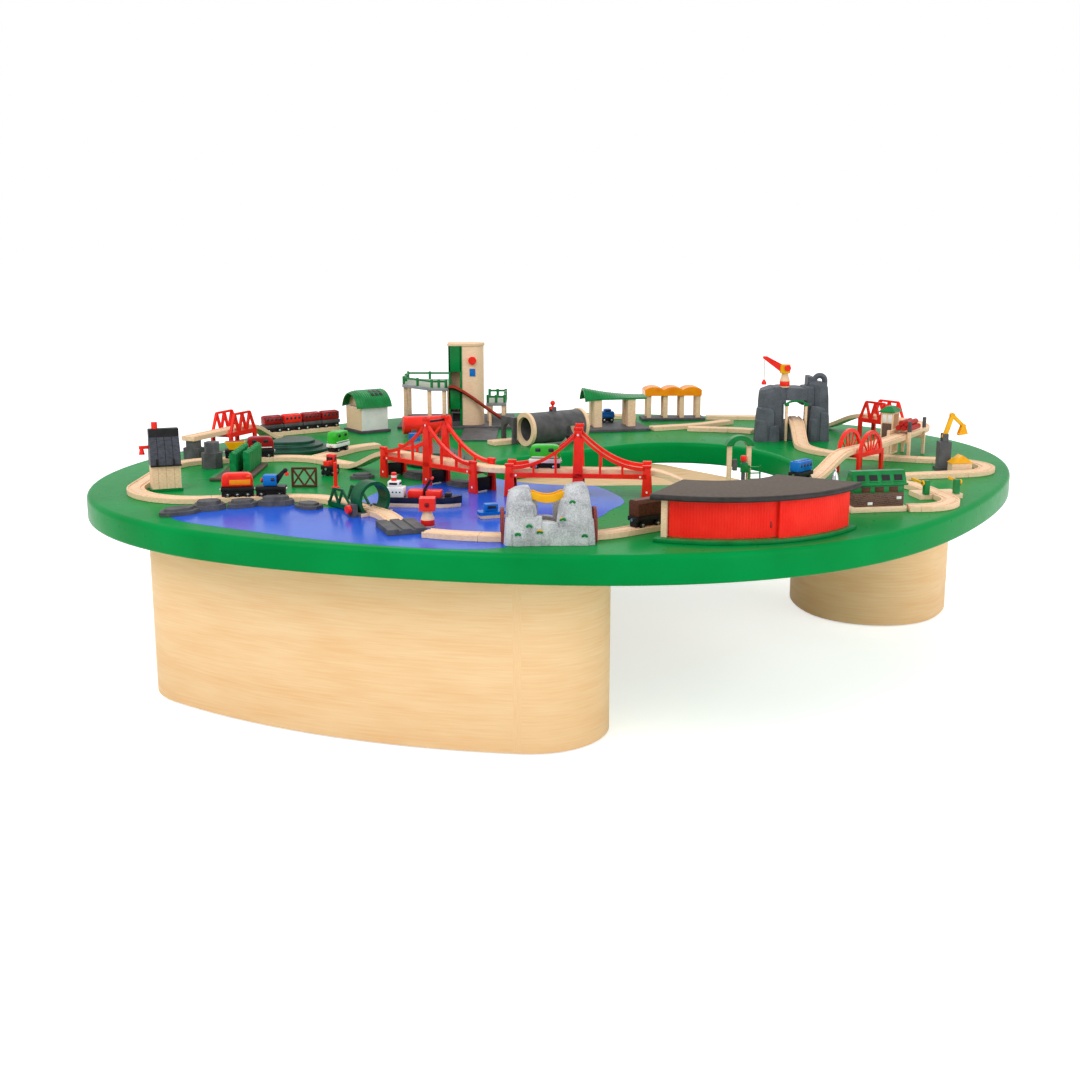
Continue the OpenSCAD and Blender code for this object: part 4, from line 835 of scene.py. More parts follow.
@dataclass
class TableTop:
    """The ring-shaped top: a rounded edge carried round a wavy outline, with the opening inside.

    The outline is r = 1084.6 (1 + 0.063 cos 2(a - 23) + 0.034 cos 4(a - 23)) about the origin.
    The opening is r = 359.4 (1 + 0.137 cos 2(a - 21.6) + 0.10 cos 3(a + 42.2)) about its own middle.
    Both are in millimetres and degrees.
    """

    low: float = 380.0
    high: float = 439.7
    upper_r: float = 13.0
    lower_r: float = 6.0
    sides: int = 360
    outline_r: float = 1084.6
    outline_turn: float = 23.0
    hole_r: float = 359.4
    hole_turn: float = 21.6
    hole_turn3: float = 42.2
    hole_x: float = 212.0
    hole_y: float = 2.0

    def outline(self, inset: Array, turn: Array) -> Array:
        """Work out the outline.

        Args:
            inset: row of distances that the edge is drawn in.
            turn: row of angles, in radians.

        Returns:
            Array of (insets, angles, 2).
        """
        a = turn - math.radians(self.outline_turn)
        r = self.outline_r * (1 + 0.063 * np.cos(2 * a) + 0.034 * np.cos(4 * a))
        reach = r[None, :] - inset[:, None]
        return np.stack([reach * np.cos(turn), reach * np.sin(turn)], axis=-1)

    def opening(self, inset: Array, turn: Array) -> Array:
        """Work out the opening's edge.

        Args:
            inset: row of distances that the opening is widened by.
            turn: row of angles, in radians.

        Returns:
            Array of (insets, angles, 2).
        """
        oval = 0.137 * np.cos(2 * (turn - math.radians(self.hole_turn)))
        lobes = 0.10 * np.cos(3 * (turn + math.radians(self.hole_turn3)))
        r = self.hole_r * (1 + oval + lobes)
        reach = r[None, :] + inset[:, None]
        return np.stack([self.hole_x + reach * np.cos(turn), self.hole_y + reach * np.sin(turn)], axis=-1)

    def build(self) -> Piece:
        """Loft the top round its outline.

        Returns:
            The finished piece.
        """
        turn = np.linspace(0, 2 * math.pi, self.sides, endpoint=False)
        quarter = np.linspace(0, math.pi / 2, 7)
        inset = np.concatenate([self.lower_r * (1 - np.sin(quarter)), self.upper_r * (1 - np.cos(quarter))])
        height = np.concatenate([
            self.low + self.lower_r * (1 - np.cos(quarter)),
            self.high - self.upper_r + self.upper_r * np.sin(quarter)])
        outer = self.outline(inset, turn)
        inner = self.opening(inset[::-1], turn)
        share = np.linspace(0, 1, 8)[1:-1, None, None]
        across = outer[-1] * (1 - share) + inner[0] * share
        rings = np.concatenate([outer, across, inner])
        heights = np.concatenate([height, np.full(len(share), self.high), height[::-1]])
        rings = np.concatenate([rings, np.repeat(heights[:, None, None], self.sides, axis=1)], axis=2)
        top = Workpiece("ring_top", "table")
        top.loft(rings, GREEN_LACQUER, loop=True)
        made = top.build(60.0)
        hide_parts("table_top")
        return made


@dataclass
class Pedestal:
    """A hollow oval leg: two end arcs joined by two flatter arcs, carried up as a wall.

    For an oval of half length l, half width w and end radius e, the side arcs have the radius
    ((l - e)^2 + w^2 - e^2) / 2(w - e), which makes them run smoothly into the ends.
    """

    node: str
    place: Place
    half_l: float
    half_w: float
    end_r: float
    wall: float = 12.0
    low: float = 4.0
    high: float = 379.9
    ease: float = 1.5

    def oval(self, inset: float) -> Array:
        """Draw the oval anticlockwise, from where the arc of its right end starts.

        Args:
            inset: how far the outline is drawn in.

        Returns:
            Array of (points, 2).
        """
        reach = self.half_l - self.end_r
        side_r = (reach**2 + self.half_w**2 - self.end_r**2) / (2 * (self.half_w - self.end_r))
        side_c = side_r - self.half_w
        meet = math.atan2(side_c, reach)
        end = np.linspace(-meet, meet, 24, endpoint=False)
        side = np.linspace(meet, math.pi - meet, 48, endpoint=False)
        e = self.end_r - inset
        s = side_r - inset
        arcs = []
        for flip in (0.0, math.pi):
            c = math.cos(flip)
            arcs.append(np.column_stack([c * reach + e * np.cos(end + flip), e * np.sin(end + flip)]))
            arcs.append(np.column_stack([s * np.cos(side + flip), -c * side_c + s * np.sin(side + flip)]))
        return np.concatenate(arcs)

    def build(self) -> Piece:
        """Loft the wall.

        Returns:
            The finished piece.
        """
        outside = ((self.ease, self.low), (0.0, self.low + self.ease), (0.0, self.high))
        inside = ((self.wall, self.high), (self.wall, self.low))
        rings = []
        uvs = []
        for inset, height in outside + inside:
            ring = self.oval(inset)
            step = np.linalg.norm(np.diff(ring, axis=0, append=ring[:1]), axis=1)
            along = np.concatenate([[0.0], np.cumsum(step)[:-1]])
            rings.append(np.column_stack([ring, np.full(len(ring), height)]))
            uvs.append(np.column_stack([along, np.full(len(ring), height)]) * MM)
        on_floor = Place(self.place.x, self.place.y, self.place.heading, -TABLE_H)
        leg = Workpiece(self.node + "_wall", "table", on_floor)
        leg.loft(np.array(rings), MAPLE, loop=True, uv=np.array(uvs))
        made = leg.build(50.0)
        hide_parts(self.node)
        return made


@dataclass
class CurvedShed:
    """The engine shed round the bend: ribbed red walls, wooden ends and a thick rounded roof.

    The ribbed wall is r = R - 0.7 + 0.2 cos(k a) in millimetres, with a rib for each 1.1 degrees.
    """

    r_in: float = 196.0
    r_out: float = 320.0
    from_a: float = 247.0
    to_a: float = 326.0
    split: float = 289.0
    plinth: float = 8.0
    height: float = 83.0
    rib_inset: float = 0.7
    rib_h: float = 0.2
    rib_turn: float = 1.1

    def arc(self, radius: Array, turn: Array, height: Array) -> Array:
        """Place points round the bend.

        Args:
            radius: distances from its middle.
            turn: angles in degrees.
            height: heights.

        Returns:
            The points, with three numbers each.
        """
        a = np.radians(turn)
        radius, a, height = np.broadcast_arrays(radius, a, height)
        return np.stack([radius * np.cos(a), radius * np.sin(a), height], axis=-1)

    def band(self, piece: Workpiece, profile: Array, turn: Array, finish: Finish) -> None:
        """Carry a closed profile of radius and height along the turn.

        Args:
            piece: the piece to add to.
            profile: array of (points, 2), radius and height, or (turns, points, 2).
            turn: angles in degrees.
            finish: its finish.
        """
        shape = np.broadcast_to(profile, (len(turn), *np.asarray(profile).shape[-2:]))
        piece.loft(self.arc(shape[..., 0], turn[:, None], shape[..., 1]), finish)

    def ribbed(self, piece: Workpiece, radii: Span, turns: Span, heights: Span) -> None:
        """Add a wall with ribs on its outer face.

        Args:
            piece: the piece to add to.
            radii: inner and outer radius.
            turns: first and last angle, in degrees.
            heights: lowest and highest height.
        """
        turn = np.linspace(*turns, int((turns[1] - turns[0]) * 12))
        rib = self.rib_h * np.cos(np.radians(turn) * 360 / self.rib_turn)
        profile = np.zeros((len(turn), 4, 2))
        profile[..., 0] = radii[0]
        profile[:, 1:3, 0] = (radii[1] - self.rib_inset + rib)[:, None]
        profile[:, :2, 1] = heights[0]
        profile[:, 2:, 1] = heights[1]
        self.band(piece, profile, turn, SHED_RED)

    def build(self) -> list[Piece]:
        """Build the body, the sliding panel and the roof.

        Returns:
            The finished pieces.
        """
        body = Workpiece("shed_shell", "table", SHED)
        turn = np.linspace(self.from_a - 2, self.to_a + 2, 60)
        self.band(body, ring_profile(self.r_in, self.r_out + 12, 0.0, self.plinth, 1.2), turn, TOY_GREEN)
        wall_top = self.height - 0.3
        self.ribbed(body, (self.r_out - 6, self.r_out), (self.split, self.to_a), (self.plinth, wall_top))
        end_wall = ring_profile(self.r_in + 4, self.r_out - 1, self.plinth, wall_top, 1.0)
        for start in (self.from_a, self.to_a - 2.0):
            self.band(body, end_wall, np.linspace(start, start + 2.0, 4), BEECH)
        shell = body.build()
        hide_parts("shed_body")
        panel = Workpiece("shed_panel", "shed_door", SHED)
        self.ribbed(panel, (self.r_out - 14, self.r_out - 8), (self.from_a + 2.5, self.split + 0.5),
                    (self.plinth + 0.6, self.height - 0.6))
        sliding = panel.build()
        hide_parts("shed_door")
        cover = Workpiece("shed_cover", "table", SHED)
        turn = np.linspace(self.from_a - 3.0, self.to_a + 3.0, 90)
        self.band(cover, ring_profile(150.5, 337.5, self.height + 0.2, 94.4, 5.0), turn, ROOF_EDGE)
        self.band(cover, ring_profile(156.0, 332.5, 90.0, 95.0, 0.6), turn[1:-1], SHED_ROOF)
        roof = cover.build()
        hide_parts("shed_roof")
        return [shell, sliding, roof]


def ring_profile(r_in: float, r_out: float, low: float, high: float, ease: float) -> Array:
    """Return a rounded rectangle of radius and height, for a band round an axis."""
    outline = rounded_rectangle(r_out - r_in, high - low, ease, 4)
    return outline + np.array([(r_in + r_out) / 2, (low + high) / 2])


@dataclass(frozen=True)
class Boulder:
    """One block of moulded rock: an uneven many-sided ring that draws in as it rises.

    Corner k of n lies near the angle 2 pi k / n on a squarish oval, moved in or out by a share of
    sin(1.7 s + 2.4 k), for the seed s. The top leans by a share of sin(2.1 s) and slopes with sin(3.3 s).
    """

    x: float
    y: float
    half_x: float
    half_y: float
    low: float
    high: float
    seed: float = 0.0
    corners: int = 9
    taper: float = 0.8
    uneven: float = 0.07

    def rings(self) -> Array:
        """Work out the rings of the block from its foot to its top.

        Returns:
            Array of (rings, points, 3).
        """
        k = np.arange(self.corners)
        a = 2 * math.pi * k / self.corners + 0.22 * np.sin(self.seed + 1.3 * k)
        c = np.cos(a)
        s = np.sin(a)
        squarish = (np.abs(c) ** 4 + np.abs(s) ** 4) ** 0.25
        reach = (1 + self.uneven * np.sin(1.7 * self.seed + 2.4 * k)) / squarish
        foot = np.stack([self.half_x * c * reach, self.half_y * s * reach], axis=-1)
        share = np.array([0.0, 0.4, 0.74, 0.93, 1.0])
        scale = 1 - (1 - self.taper) * np.array([0.0, 0.3, 0.6, 1.0, 1.75])
        lean = 0.1 * math.sin(self.seed * 2.1) * share
        flat = foot * scale[:, None, None]
        flat = flat + np.array([self.x, self.y])
        flat[..., 0] += (lean * self.half_x)[:, None]
        slope = 0.09 * math.sin(3.3 * self.seed) * (foot[:, 0] / self.half_x)
        rise = self.low + (self.high - self.low) * share[:, None] * (1 + slope * share[:, None])
        rise = np.minimum(rise, self.high)
        return np.concatenate([flat, rise[..., None]], axis=2)


@dataclass
class TwinPeaks:
    """The pale rock with two peaks, brick portals and painted plants."""

    at: Place = PEAKS

    def blocks(self) -> list[Boulder]:
        """List the blocks of the rock: the front wall, the back wall and the two peaks over the tunnel.

        Returns:
            The blocks.
        """
        return [
            Boulder(-58, -40, 32, 16, 0, 86, 1.0, taper=0.7),
            Boulder(-57, 2, 29, 46, 62, 106, 2.2, taper=0.62),
            Boulder(44, -40, 38, 16, 0, 90, 3.1, taper=0.7),
            Boulder(46, 2, 31, 46, 62, 112, 4.3, taper=0.6),
            Boulder(-7, -42, 27, 13, 0, 47, 5.0),
            Boulder(-32, -48, 16, 9, 0, 58, 6.4),
            Boulder(25, -49, 21, 8, 0, 36, 7.7),
            Boulder(70, -36, 14, 20, 0, 48, 8.2),
            Boulder(-80, -34, 12, 20, 0, 54, 9.6),
            Boulder(-60, -51, 17, 7, 0, 30, 2.7),
            Boulder(56, -50, 16, 8, 0, 60, 1.4),
            Boulder(-55, 44, 33, 14, 0, 86, 10.1),
            Boulder(42, 44, 37, 14, 0, 88, 11.3),
            Boulder(-6, 46, 27, 11, 0, 40, 12.9)]

    def plant(self, piece: Workpiece, x: float, z: float, flowers: int) -> None:
        """Add a tuft of leaves, with some flowers, on the front of the rock.

        Args:
            piece: the piece to add to.
            x: where it grows along the rock.
            z: its height.
            flowers: how many flowers it has.
        """
        for k in range(5):
            a = math.radians(20 + 35 * k)
            piece.turned([(0.5, -1.5), (2.6, -0.4), (1.8, 0.9), (0.2, 1.4)],
                         (x + 4.2 * math.cos(a), -58.0, z + 3.2 * math.sin(a)), TOY_GREEN, "y", 10)
        for k in range(flowers):
            flower = [(0.4, -1.2), (1.9, -0.3), (0.3, 0.8)]
            piece.turned(flower, (x - 3 + 3.4 * k, -58.6, z + 5.4), YELLOW, "y", 10)

    def build(self, nodes: dict[str, Piece]) -> list[Piece]:
        """Build the rock and its plants; the portals keep the form of the node.

        Args:
            nodes: the frame's nodes by name.

        Returns:
            The finished pieces.
        """
        rock = Workpiece("twin_peaks", "table", self.at)
        for block in self.blocks():
            rock.loft(block.rings(), PALE_ROCK)
        made = rock.build(24.0, ease=3.0)
        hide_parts("twin_peak_rock")
        plants = Workpiece("rock_plants", "table", self.at)
        tufts_at = ((-44, 38, 0), (-24, 26, 3), (38, 84, 0), (20, 50, 1), (-66, 22, 0), (62, 18, 0))
        for x, z, flowers in tufts_at:
            self.plant(plants, x, z, flowers)
        tufts = plants.build()
        portals = CarriedNode("twin_peak_rock", "table", BRICK_RED, ease=0.8, keep=[
            zone(self.at, (-120, -90.1)), zone(self.at, (82.1, 120))])
        return [made, tufts, portals.build(nodes)]


@dataclass
class Mountain:
    """The grey mountain with the raised line through it, its timber portal and its look-out arch."""

    at: Place = MOUNTAIN_AT

    def blocks(self) -> list[Boulder]:
        """List the blocks of the mountain.

        Returns:
            The blocks.
        """
        facets = {"corners": 8, "uneven": 0.05, "taper": 0.84}
        return [
            Boulder(-78, -13, 33, 33, 0, 95, 1.2, **facets),
            Boulder(-58, 25, 37, 55, 0, 150, 2.6, **facets),
            Boulder(68, -13, 28, 33, 0, 100, 3.4, **facets),
            Boulder(78, 35, 33, 55, 0, 165, 4.9, **facets),
            Boulder(-92, -38, 18, 14, 0, 62, 5.5, **facets),
            Boulder(-56, -40, 16, 12, 0, 46, 6.1, **facets),
            Boulder(56, -40, 15, 12, 0, 66, 7.3, **facets),
            Boulder(88, -30, 16, 18, 0, 84, 8.8, **facets),
            Boulder(-36, 22, 24, 48, 104, 152, 2.1, **facets),
            Boulder(8, 22, 52, 46, 114, 150, 9.2, **facets),
            Boulder(44, 24, 20, 48, 100, 152, 3.8, **facets),
            Boulder(58, 44, 12, 40, 150, 178, 5.2, **facets),
            Boulder(-37, -8, 12, 22, 0, 112, 6.6, **facets),
            Boulder(48, -8, 9, 22, 0, 108, 1.9, **facets)]

    def build(self) -> list[Piece]:
        """Build the rock, the portal and the arch on top.

        Returns:
            The finished pieces.
        """
        rock = Workpiece("mountain_rock", "table", self.at)
        for block in self.blocks():
            rock.loft(block.rings(), MOUNTAIN)
        rock.block((0, 22, 25), (118, 98, 50), MOUNTAIN, 2.0)
        turn = np.linspace(0, math.pi, 13)
        arch = np.column_stack([84 + 15 * np.cos(turn), np.full(13, 40.0), 164 + 15 * np.sin(turn)])
        legs = np.array([[99.0, 40.0, 150.0]]), np.array([[69.0, 40.0, 150.0]])
        rock.tube(np.concatenate([legs[0], arch, legs[1]]), 8.0, MOUNTAIN, 8)
        made = rock.build(18.0, ease=2.2)
        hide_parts("grey_mountain")
        portal = Workpiece("mountain_portal", "table", self.at)
        for x in (-20.5, 34.5):
            portal.block((x, -33, 50), (7, 11, 100), BEECH, 0.8)
            portal.block((x, -33, 104), (12, 14, 8), TOY_GREEN, 1.5)
        turn = np.linspace(0, math.pi, 15)
        bow = np.column_stack([7 + 27 * np.cos(turn), np.full(15, -33.0), 104 + 10 * np.sin(turn)])
        portal.tube(bow, 3.0, TOY_GREEN, 8)
        return [made, portal.build()]


@dataclass
class SuspensionBridge:
    """A red suspension bridge: two pierced sides with hanging cables, and black feet between them.

    The cable's upper edge is z = 70 + 80 (1 - |x| / 150)^2 in millimetres.
    """

    name: str
    at: Place
    half_l: float = 155.0
    tower_h: float = 160.0
    post_h: float = 74.0
    cable_l: float = 150.0
    cable_low: float = 70.0
    cable_rise: float = 80.0
    inner_y: float = 26.0
    outer_y: float = 34.0

    def cable(self, x: Array) -> Array:
        """Return the height of the cable's upper edge."""
        return self.cable_low + self.cable_rise * (1 - np.abs(x) / self.cable_l) ** 2

    def side(self, piece: Workpiece, low: float, high: float) -> None:
        """Add one pierced side.

        Args:
            piece: the piece to add to.
            low: where it starts across the bridge.
            high: where it ends.
        """
        piece.slab([(-13, 0), (13, 0), (8, self.tower_h), (-8, self.tower_h)], low, high, RED, 1.2, "y")
        piece.block((0, (low + high) / 2, self.tower_h - 4), (20, high - low + 2, 8), RED, 1.5)
        girder = [(-self.half_l, 44), (self.half_l, 44), (self.half_l, 54), (-self.half_l, 54)]
        piece.slab(girder, low, high, RED, 1.0, "y")
        for way in (-1, 1):
            x = way * np.linspace(4, self.cable_l, 22)
            edge = strip_edge(x, self.cable(x) - 8, self.cable(x))
            piece.loft(across_rings(edge, (low, high)), RED)
            post = way * self.half_l
            tapered = [(post - 12, 0), (post + 12, 0), (post + 8, self.post_h), (post - 8, self.post_h)]
            piece.slab(tapered, low, high, RED, 1.2, "y")
            piece.block((post, (low + high) / 2, self.post_h - 2), (20, high - low + 2, 6), RED, 1.2)
            for along in (50, 100):
                top = float(self.cable(np.array(float(along)))) - 4
                middle = (way * along, (low + high) / 2, (48 + top) / 2)
                piece.block(middle, (5, high - low - 2, top - 48), RED, 0.8)

    def pins(self, piece: Workpiece) -> None:
        """Add the pale pins on the outer faces.

        Args:
            piece: the piece to add to.
        """
        end = self.half_l
        for y in (-self.outer_y - 0.6, self.outer_y + 0.2):
            for x, z in ((-end, 14), (0, 14), (end, 14), (15 - end, 49), (end - 15, 49), (0, 142)):
                piece.turned([(2.4, 0.0), (2.4, 0.25), (1.6, 0.4)], (x, y, z), WHITE, "y", 14)

    def build(self) -> Piece:
        """Build the bridge.

        Returns:
            The finished piece.
        """
        piece = Workpiece(self.name, "table", self.at)
        self.side(piece, -self.outer_y, -self.inner_y)
        self.side(piece, self.inner_y, self.outer_y)
        for x in (-145, 0, 145):
            piece.block((x, 0, 46), (16, 53, 8), RED, 0.8)
        for x in (-self.half_l, 0, self.half_l):
            piece.block((x, 0, 18), (9, 52.5, 30), BLACK, 1.0)
        piece.block((0, 0, 150), (5, 53, 5), BLACK, 0.8)
        self.pins(piece)
        made = piece.build()
        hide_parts("suspension_bridges")
        return made


@dataclass(frozen=True)
class ParkingDeck:
    """One deck of the garage: its outline, the height of its top, its posts and the line of its railing."""

    outline: Sequence[tuple[float, float]]
    top: float
    posts: Sequence[tuple[float, float]]
    rail: Sequence[tuple[float, float]]


PARKING_DECKS = (
    ParkingDeck(((-172, 80), (-74, -25), (-23, -25), (-23, 235), (-172, 235)), 122,
                ((-163, 92), (-163, 222), (-82, -2), (-36, -14), (-36, 222)),
                ((-28, 230), (-167, 230), (-167, 82), (-73, -20), (-30, -20))),
    ParkingDeck(((88, 60), (150, 60), (150, 235), (88, 235)), 66,
                ((97, 69), (141, 69), (97, 226), (141, 226)),
                ((93, 65), (145, 65), (145, 230), (93, 230))))


@dataclass
class Garage:
    """The parking garage: lift tower, two decks with railings and a slide."""

    at: Place = GARAGE
    tower_h: float = 247.0

    def tower(self) -> Piece:
        """Build the tower round its open shaft.

        Returns:
            The finished piece.
        """
        piece = Workpiece("lift_tower", "table", self.at)
        turn = np.linspace(-math.pi / 2, math.pi / 2, 15)
        round_side = np.column_stack([52 + 32 * np.cos(turn), 7 + 35 * np.sin(turn)])
        front = np.concatenate([[[17.0, 42.0], [17.0, -28.0]], round_side])
        piece.slab(front, 8, self.tower_h, BEECH_PALE, 0.8)
        piece.block((-2, 27.5, 127.5), (38, 29, 239), BEECH_PALE, 0.8)
        piece.block((-18, -8, 127.5), (6, 40, 239), TOY_GREEN, 0.8)
        piece.block((-2, -8, 231), (38, 40, 32), BEECH_PALE, 0.8)
        piece.block((-2, -8, 11), (38, 40, 6), PLATE_GREY, 0.6)
        for low, high in ((58, 118), (170, 247)):
            piece.block((-2, -29, (low + high) / 2), (38, 2, high - low), TOY_GREEN, 0.6)
        for x, width in ((-18.5, 5), (16.5, 7)):
            piece.block((x, -29, 127.5), (width, 2, 239), TOY_GREEN, 0.6)
        round_lid = np.column_stack([52 + 35 * np.cos(turn), 7 + 38 * np.sin(turn)])
        lid = np.concatenate([[[-24.0, 45.0], [-24.0, -31.0]], round_lid])
        piece.slab(lid, self.tower_h + 0.2, self.tower_h + 8.2, BEECH, 1.5)
        piece.block((51, -28.8, 168), (17, 1.6, 23), BLUE, 0.6)
        made = piece.build()
        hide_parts("garage_tower")
        return made

    def railing(self, piece: Workpiece, line: Sequence[tuple[float, float]], low: float) -> None:
        """Add a railing: a thick rail, with a round post at each corner and half way between.

        Args:
            piece: the piece to add to.
            line: the corners that the rail runs through.
            low: height of the deck.
        """
        corners = np.asarray(line, float)
        halves = (corners[:-1] + corners[1:]) / 2
        for x, y in np.concatenate([corners, halves]):
            piece.turned([(4.2, 0), (4.2, 22.8), (3.2, 24.0)], (x, y, low), TOY_GREEN, "z", 16)
        for start, end in zip(corners[:-1], corners[1:]):
            piece.tube(np.array([[*start, low + 18.5], [*end, low + 18.5]]), 3.2, TOY_GREEN, 10)

    def decks(self) -> Piece:
        """Build the two decks, their square posts and their railings.

        Returns:
            The finished piece.
        """
        piece = Workpiece("parking_decks", "table", self.at)
        for deck in PARKING_DECKS:
            outline = np.asarray(deck.outline, float)
            middle = outline.mean(axis=0)
            piece.slab(outline, deck.top - 10, deck.top - 1.2, DECK_EDGE, 1.2)
            piece.slab(middle + 0.96 * (outline - middle), deck.top - 2, deck.top, DECK_GREY, 0.4)
            for x, y in deck.posts:
                piece.block((x, y, (deck.top - 2) / 2), (12, 12, deck.top - 18), BEECH, 0.8)
            self.railing(piece, deck.rail, deck.top)
        made = piece.build()
        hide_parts("garage_decks")
        return made

    def slide(self) -> Piece:
        """Build the slide, with a lip on each side.

        Its height falls from 122 to 16 mm along 0.35 (3 t^2 - 2 t^3) + 0.65 t, after a short level start.

        Returns:
            The finished piece.
        """
        t = np.linspace(0, 1, 31)
        x = -20 + 185 * t
        fall = np.clip((t - 0.08) / 0.92, 0, 1)
        fall = 0.35 * (3 * fall**2 - 2 * fall**3) + 0.65 * fall
        z = 122 - 106 * fall
        piece = Workpiece("car_slide", "table", self.at)
        for low, high, base, lip in ((-46, -32, -2.0, 1.5), (-46, -43.8, -2.0, 8.0), (-34.2, -32, -2.0, 8.0)):
            piece.loft(across_rings(strip_edge(x, z + base, z + lip), (low, high)), SLIDE_RED)
        piece.block((104, -39, 28.5), (8, 10, 41), BEECH, 0.8)
        made = piece.build()
        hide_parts("garage_slide")
        return made

    def build(self) -> list[Piece]:
        """Build the garage."""
        return [self.tower(), self.decks(), self.slide()]


@dataclass
class Houses:
    """The stations, the canopies and the small work on the mill."""

    def station_roof(self) -> Piece:
        """Build the barrel roof: an arch 122 mm wide that rises 48 mm, ribbed by 0.5 cos(2 pi x / 7) mm.

        Its left end curls in: the arch shrinks there by 0.22 t^2, for the share t of the last 30 mm.

        Returns:
            The finished piece.
        """
        half, rise, eave = 61.0, 48.0, 76.0
        radius = (half**2 + rise**2) / (2 * rise)
        centre = eave + rise - radius
        reach = math.asin(half / radius)
        turn = np.linspace(-reach, reach, 41)
        x = np.linspace(-58, 52, 133)
        rib = 0.5 * np.cos(2 * math.pi * x / 7)
        curl = 1 - 0.22 * np.clip((-28 - x) / 30, 0, 1) ** 2
        outer = (radius - 0.6 + rib)[:, None] * np.ones(len(turn))
        inner = np.full((len(x), len(turn)), radius - 4.0)
        shell = np.concatenate([outer, inner], axis=1)
        around = np.concatenate([turn, turn[::-1]])
        rings = np.stack([
            np.repeat(x[:, None], len(around), axis=1),
            shell * np.sin(around) * curl[:, None],
            centre + shell * np.cos(around) * (0.6 + 0.4 * curl[:, None])], axis=-1)
        piece = Workpiece("station_roof", "table", STATION)
        piece.loft(rings, TOY_GREEN)
        gable = np.column_stack([(radius - 4.2) * np.sin(turn), centre + (radius - 4.2) * np.cos(turn)])
        for low, high, finish in ((-30, -26, BEECH), (38, 44, WHITE)):
            piece.slab(gable, low, high, finish, 0.2, "x")
        for along in (-4, 10, 24):
            for upper, lower in ((-0.22, -0.42), (-0.5, -0.7)):
                edge = np.linspace(lower, upper, 6)
                strip = np.concatenate([np.column_stack([r * np.sin(edge), centre + r * np.cos(edge)])[::way]
                                        for r, way in ((radius - 2, 1), (radius + 0.3, -1))])
                piece.slab(strip, along, along + 9, BLACK, 0.1, "x")
        made = piece.build()
        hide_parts("toy_roofs")
        return made

    def platform(self) -> Piece:
        """Build the platform: wooden base, brick and green walls, dark sheets of painted shade where its
        openings are, and a roof of skylights.

        Returns:
            The finished piece.
        """
        piece = Workpiece("platform_building", "table", PLATFORM)
        piece.block((0, 0, 6), (126, 45, 12), BEECH_PALE, 1.0)
        piece.block((0, 0, 27), (112, 38, 30), BRICK_BROWN, 0.8)
        piece.block((0, 0, 50), (112, 36, 16), TOY_GREEN, 0.8)
        # Dark brown sheets on both green walls stand where the openings are: their dark colour is painted
        # shade of the insides.
        for x in (-30, 0, 32):
            piece.block((x, -18, 49), (20, 1.6, 11), DARK_WOOD, 0.5)
            piece.block((x, 18, 49), (20, 1.6, 11), DARK_WOOD, 0.5)
        for x, z in ((-20, 19), (45, 30)):
            piece.block((x, -19.2, z), (11, 0.8, 6), WHITE, 0.3)
        piece.block((0, 0, 60), (127, 48, 5), TOY_GREEN, 1.8)
        gable = [(-22, 62), (22, 62), (11, 84), (8, 88), (-8, 88), (-11, 84)]
        piece.slab(gable, -60, 60, TOY_GREEN, 1.2, "x")
        for x in (-42, -14, 14, 42):
            for way in (-1, 1):
                mirror = np.array([way, 1.0])
                pane = mirror * [(19.6, 68.0), (19.0, 66.6), (13.6, 79.6), (14.2, 80.2)]
                piece.slab(pane, x - 9, x + 9, BLACK, 0.2, "x")
                sill = mirror * [(21.4, 66.0), (20.6, 64.4), (19.4, 66.6), (20.2, 68.2)]
                piece.slab(sill, x - 11, x + 11, TOY_GREEN, 0.2, "x")
        made = piece.build()
        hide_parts("platform_station", "toy_roofs")
        return made

    def canopy(self) -> Piece:
        """Build the green wing roof.

        Its top is z = 95 + 30 h(x) (1 - (y / 37)^2) with ribs of 0.5 cos(2 pi x / 8). Here h falls from the
        left end to the right, and the left end sags by up to 5 mm at the long edges.

        Returns:
            The finished piece.
        """
        x = np.linspace(-95, 95, 191)
        y = np.linspace(-37, 37, 25)
        share = (95 - x) / 190
        lift = 0.18 + 0.82 * share**1.8
        sag = 5 * np.clip((-40 - x) / 55, 0, 1) ** 2
        rib = 0.5 * np.cos(2 * math.pi * x / 8)
        bow = 1 - (y / 37) ** 2
        top = 95 + (30 * lift)[:, None] * bow + rib[:, None] - sag[:, None] * (1 - bow)
        rings = np.zeros((len(x), 2 * len(y), 3))
        rings[..., 0] = x[:, None]
        rings[:, :25, 1] = y
        rings[:, :25, 2] = top
        rings[:, 25:, 1] = y[::-1]
        rings[:, 25:, 2] = np.maximum(top[:, ::-1] - 8, 90.2 - sag[:, None])
        piece = Workpiece("wing_canopy", "table", CANOPY)
        piece.loft(rings, TOY_GREEN)
        made = piece.build()
        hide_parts("toy_roofs")
        return made

    def orange_stop(self) -> Piece:
        """Build the orange roof of three waves: its top is z = 96 + 10 |sin(pi (x + 94) / 60)|^0.7.

        Returns:
            The finished piece.
        """
        x = np.linspace(-94, 86, 91)
        top = 96 + 10 * np.abs(np.sin(math.pi * (x + 94) / 60)) ** 0.7
        edge = strip_edge(x, np.full(len(x), 78.0), top)
        rings = across_rings(edge, (-34.0, -33.0, 33.0, 34.0))
        rings[[0, 3], :, 2] = 79 + 0.96 * (rings[[0, 3], :, 2] - 79)
        piece = Workpiece("wave_canopy", "table", ORANGE_STOP)
        piece.loft(rings, ORANGE)
        made = piece.build()
        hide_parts("toy_roofs")
        return made

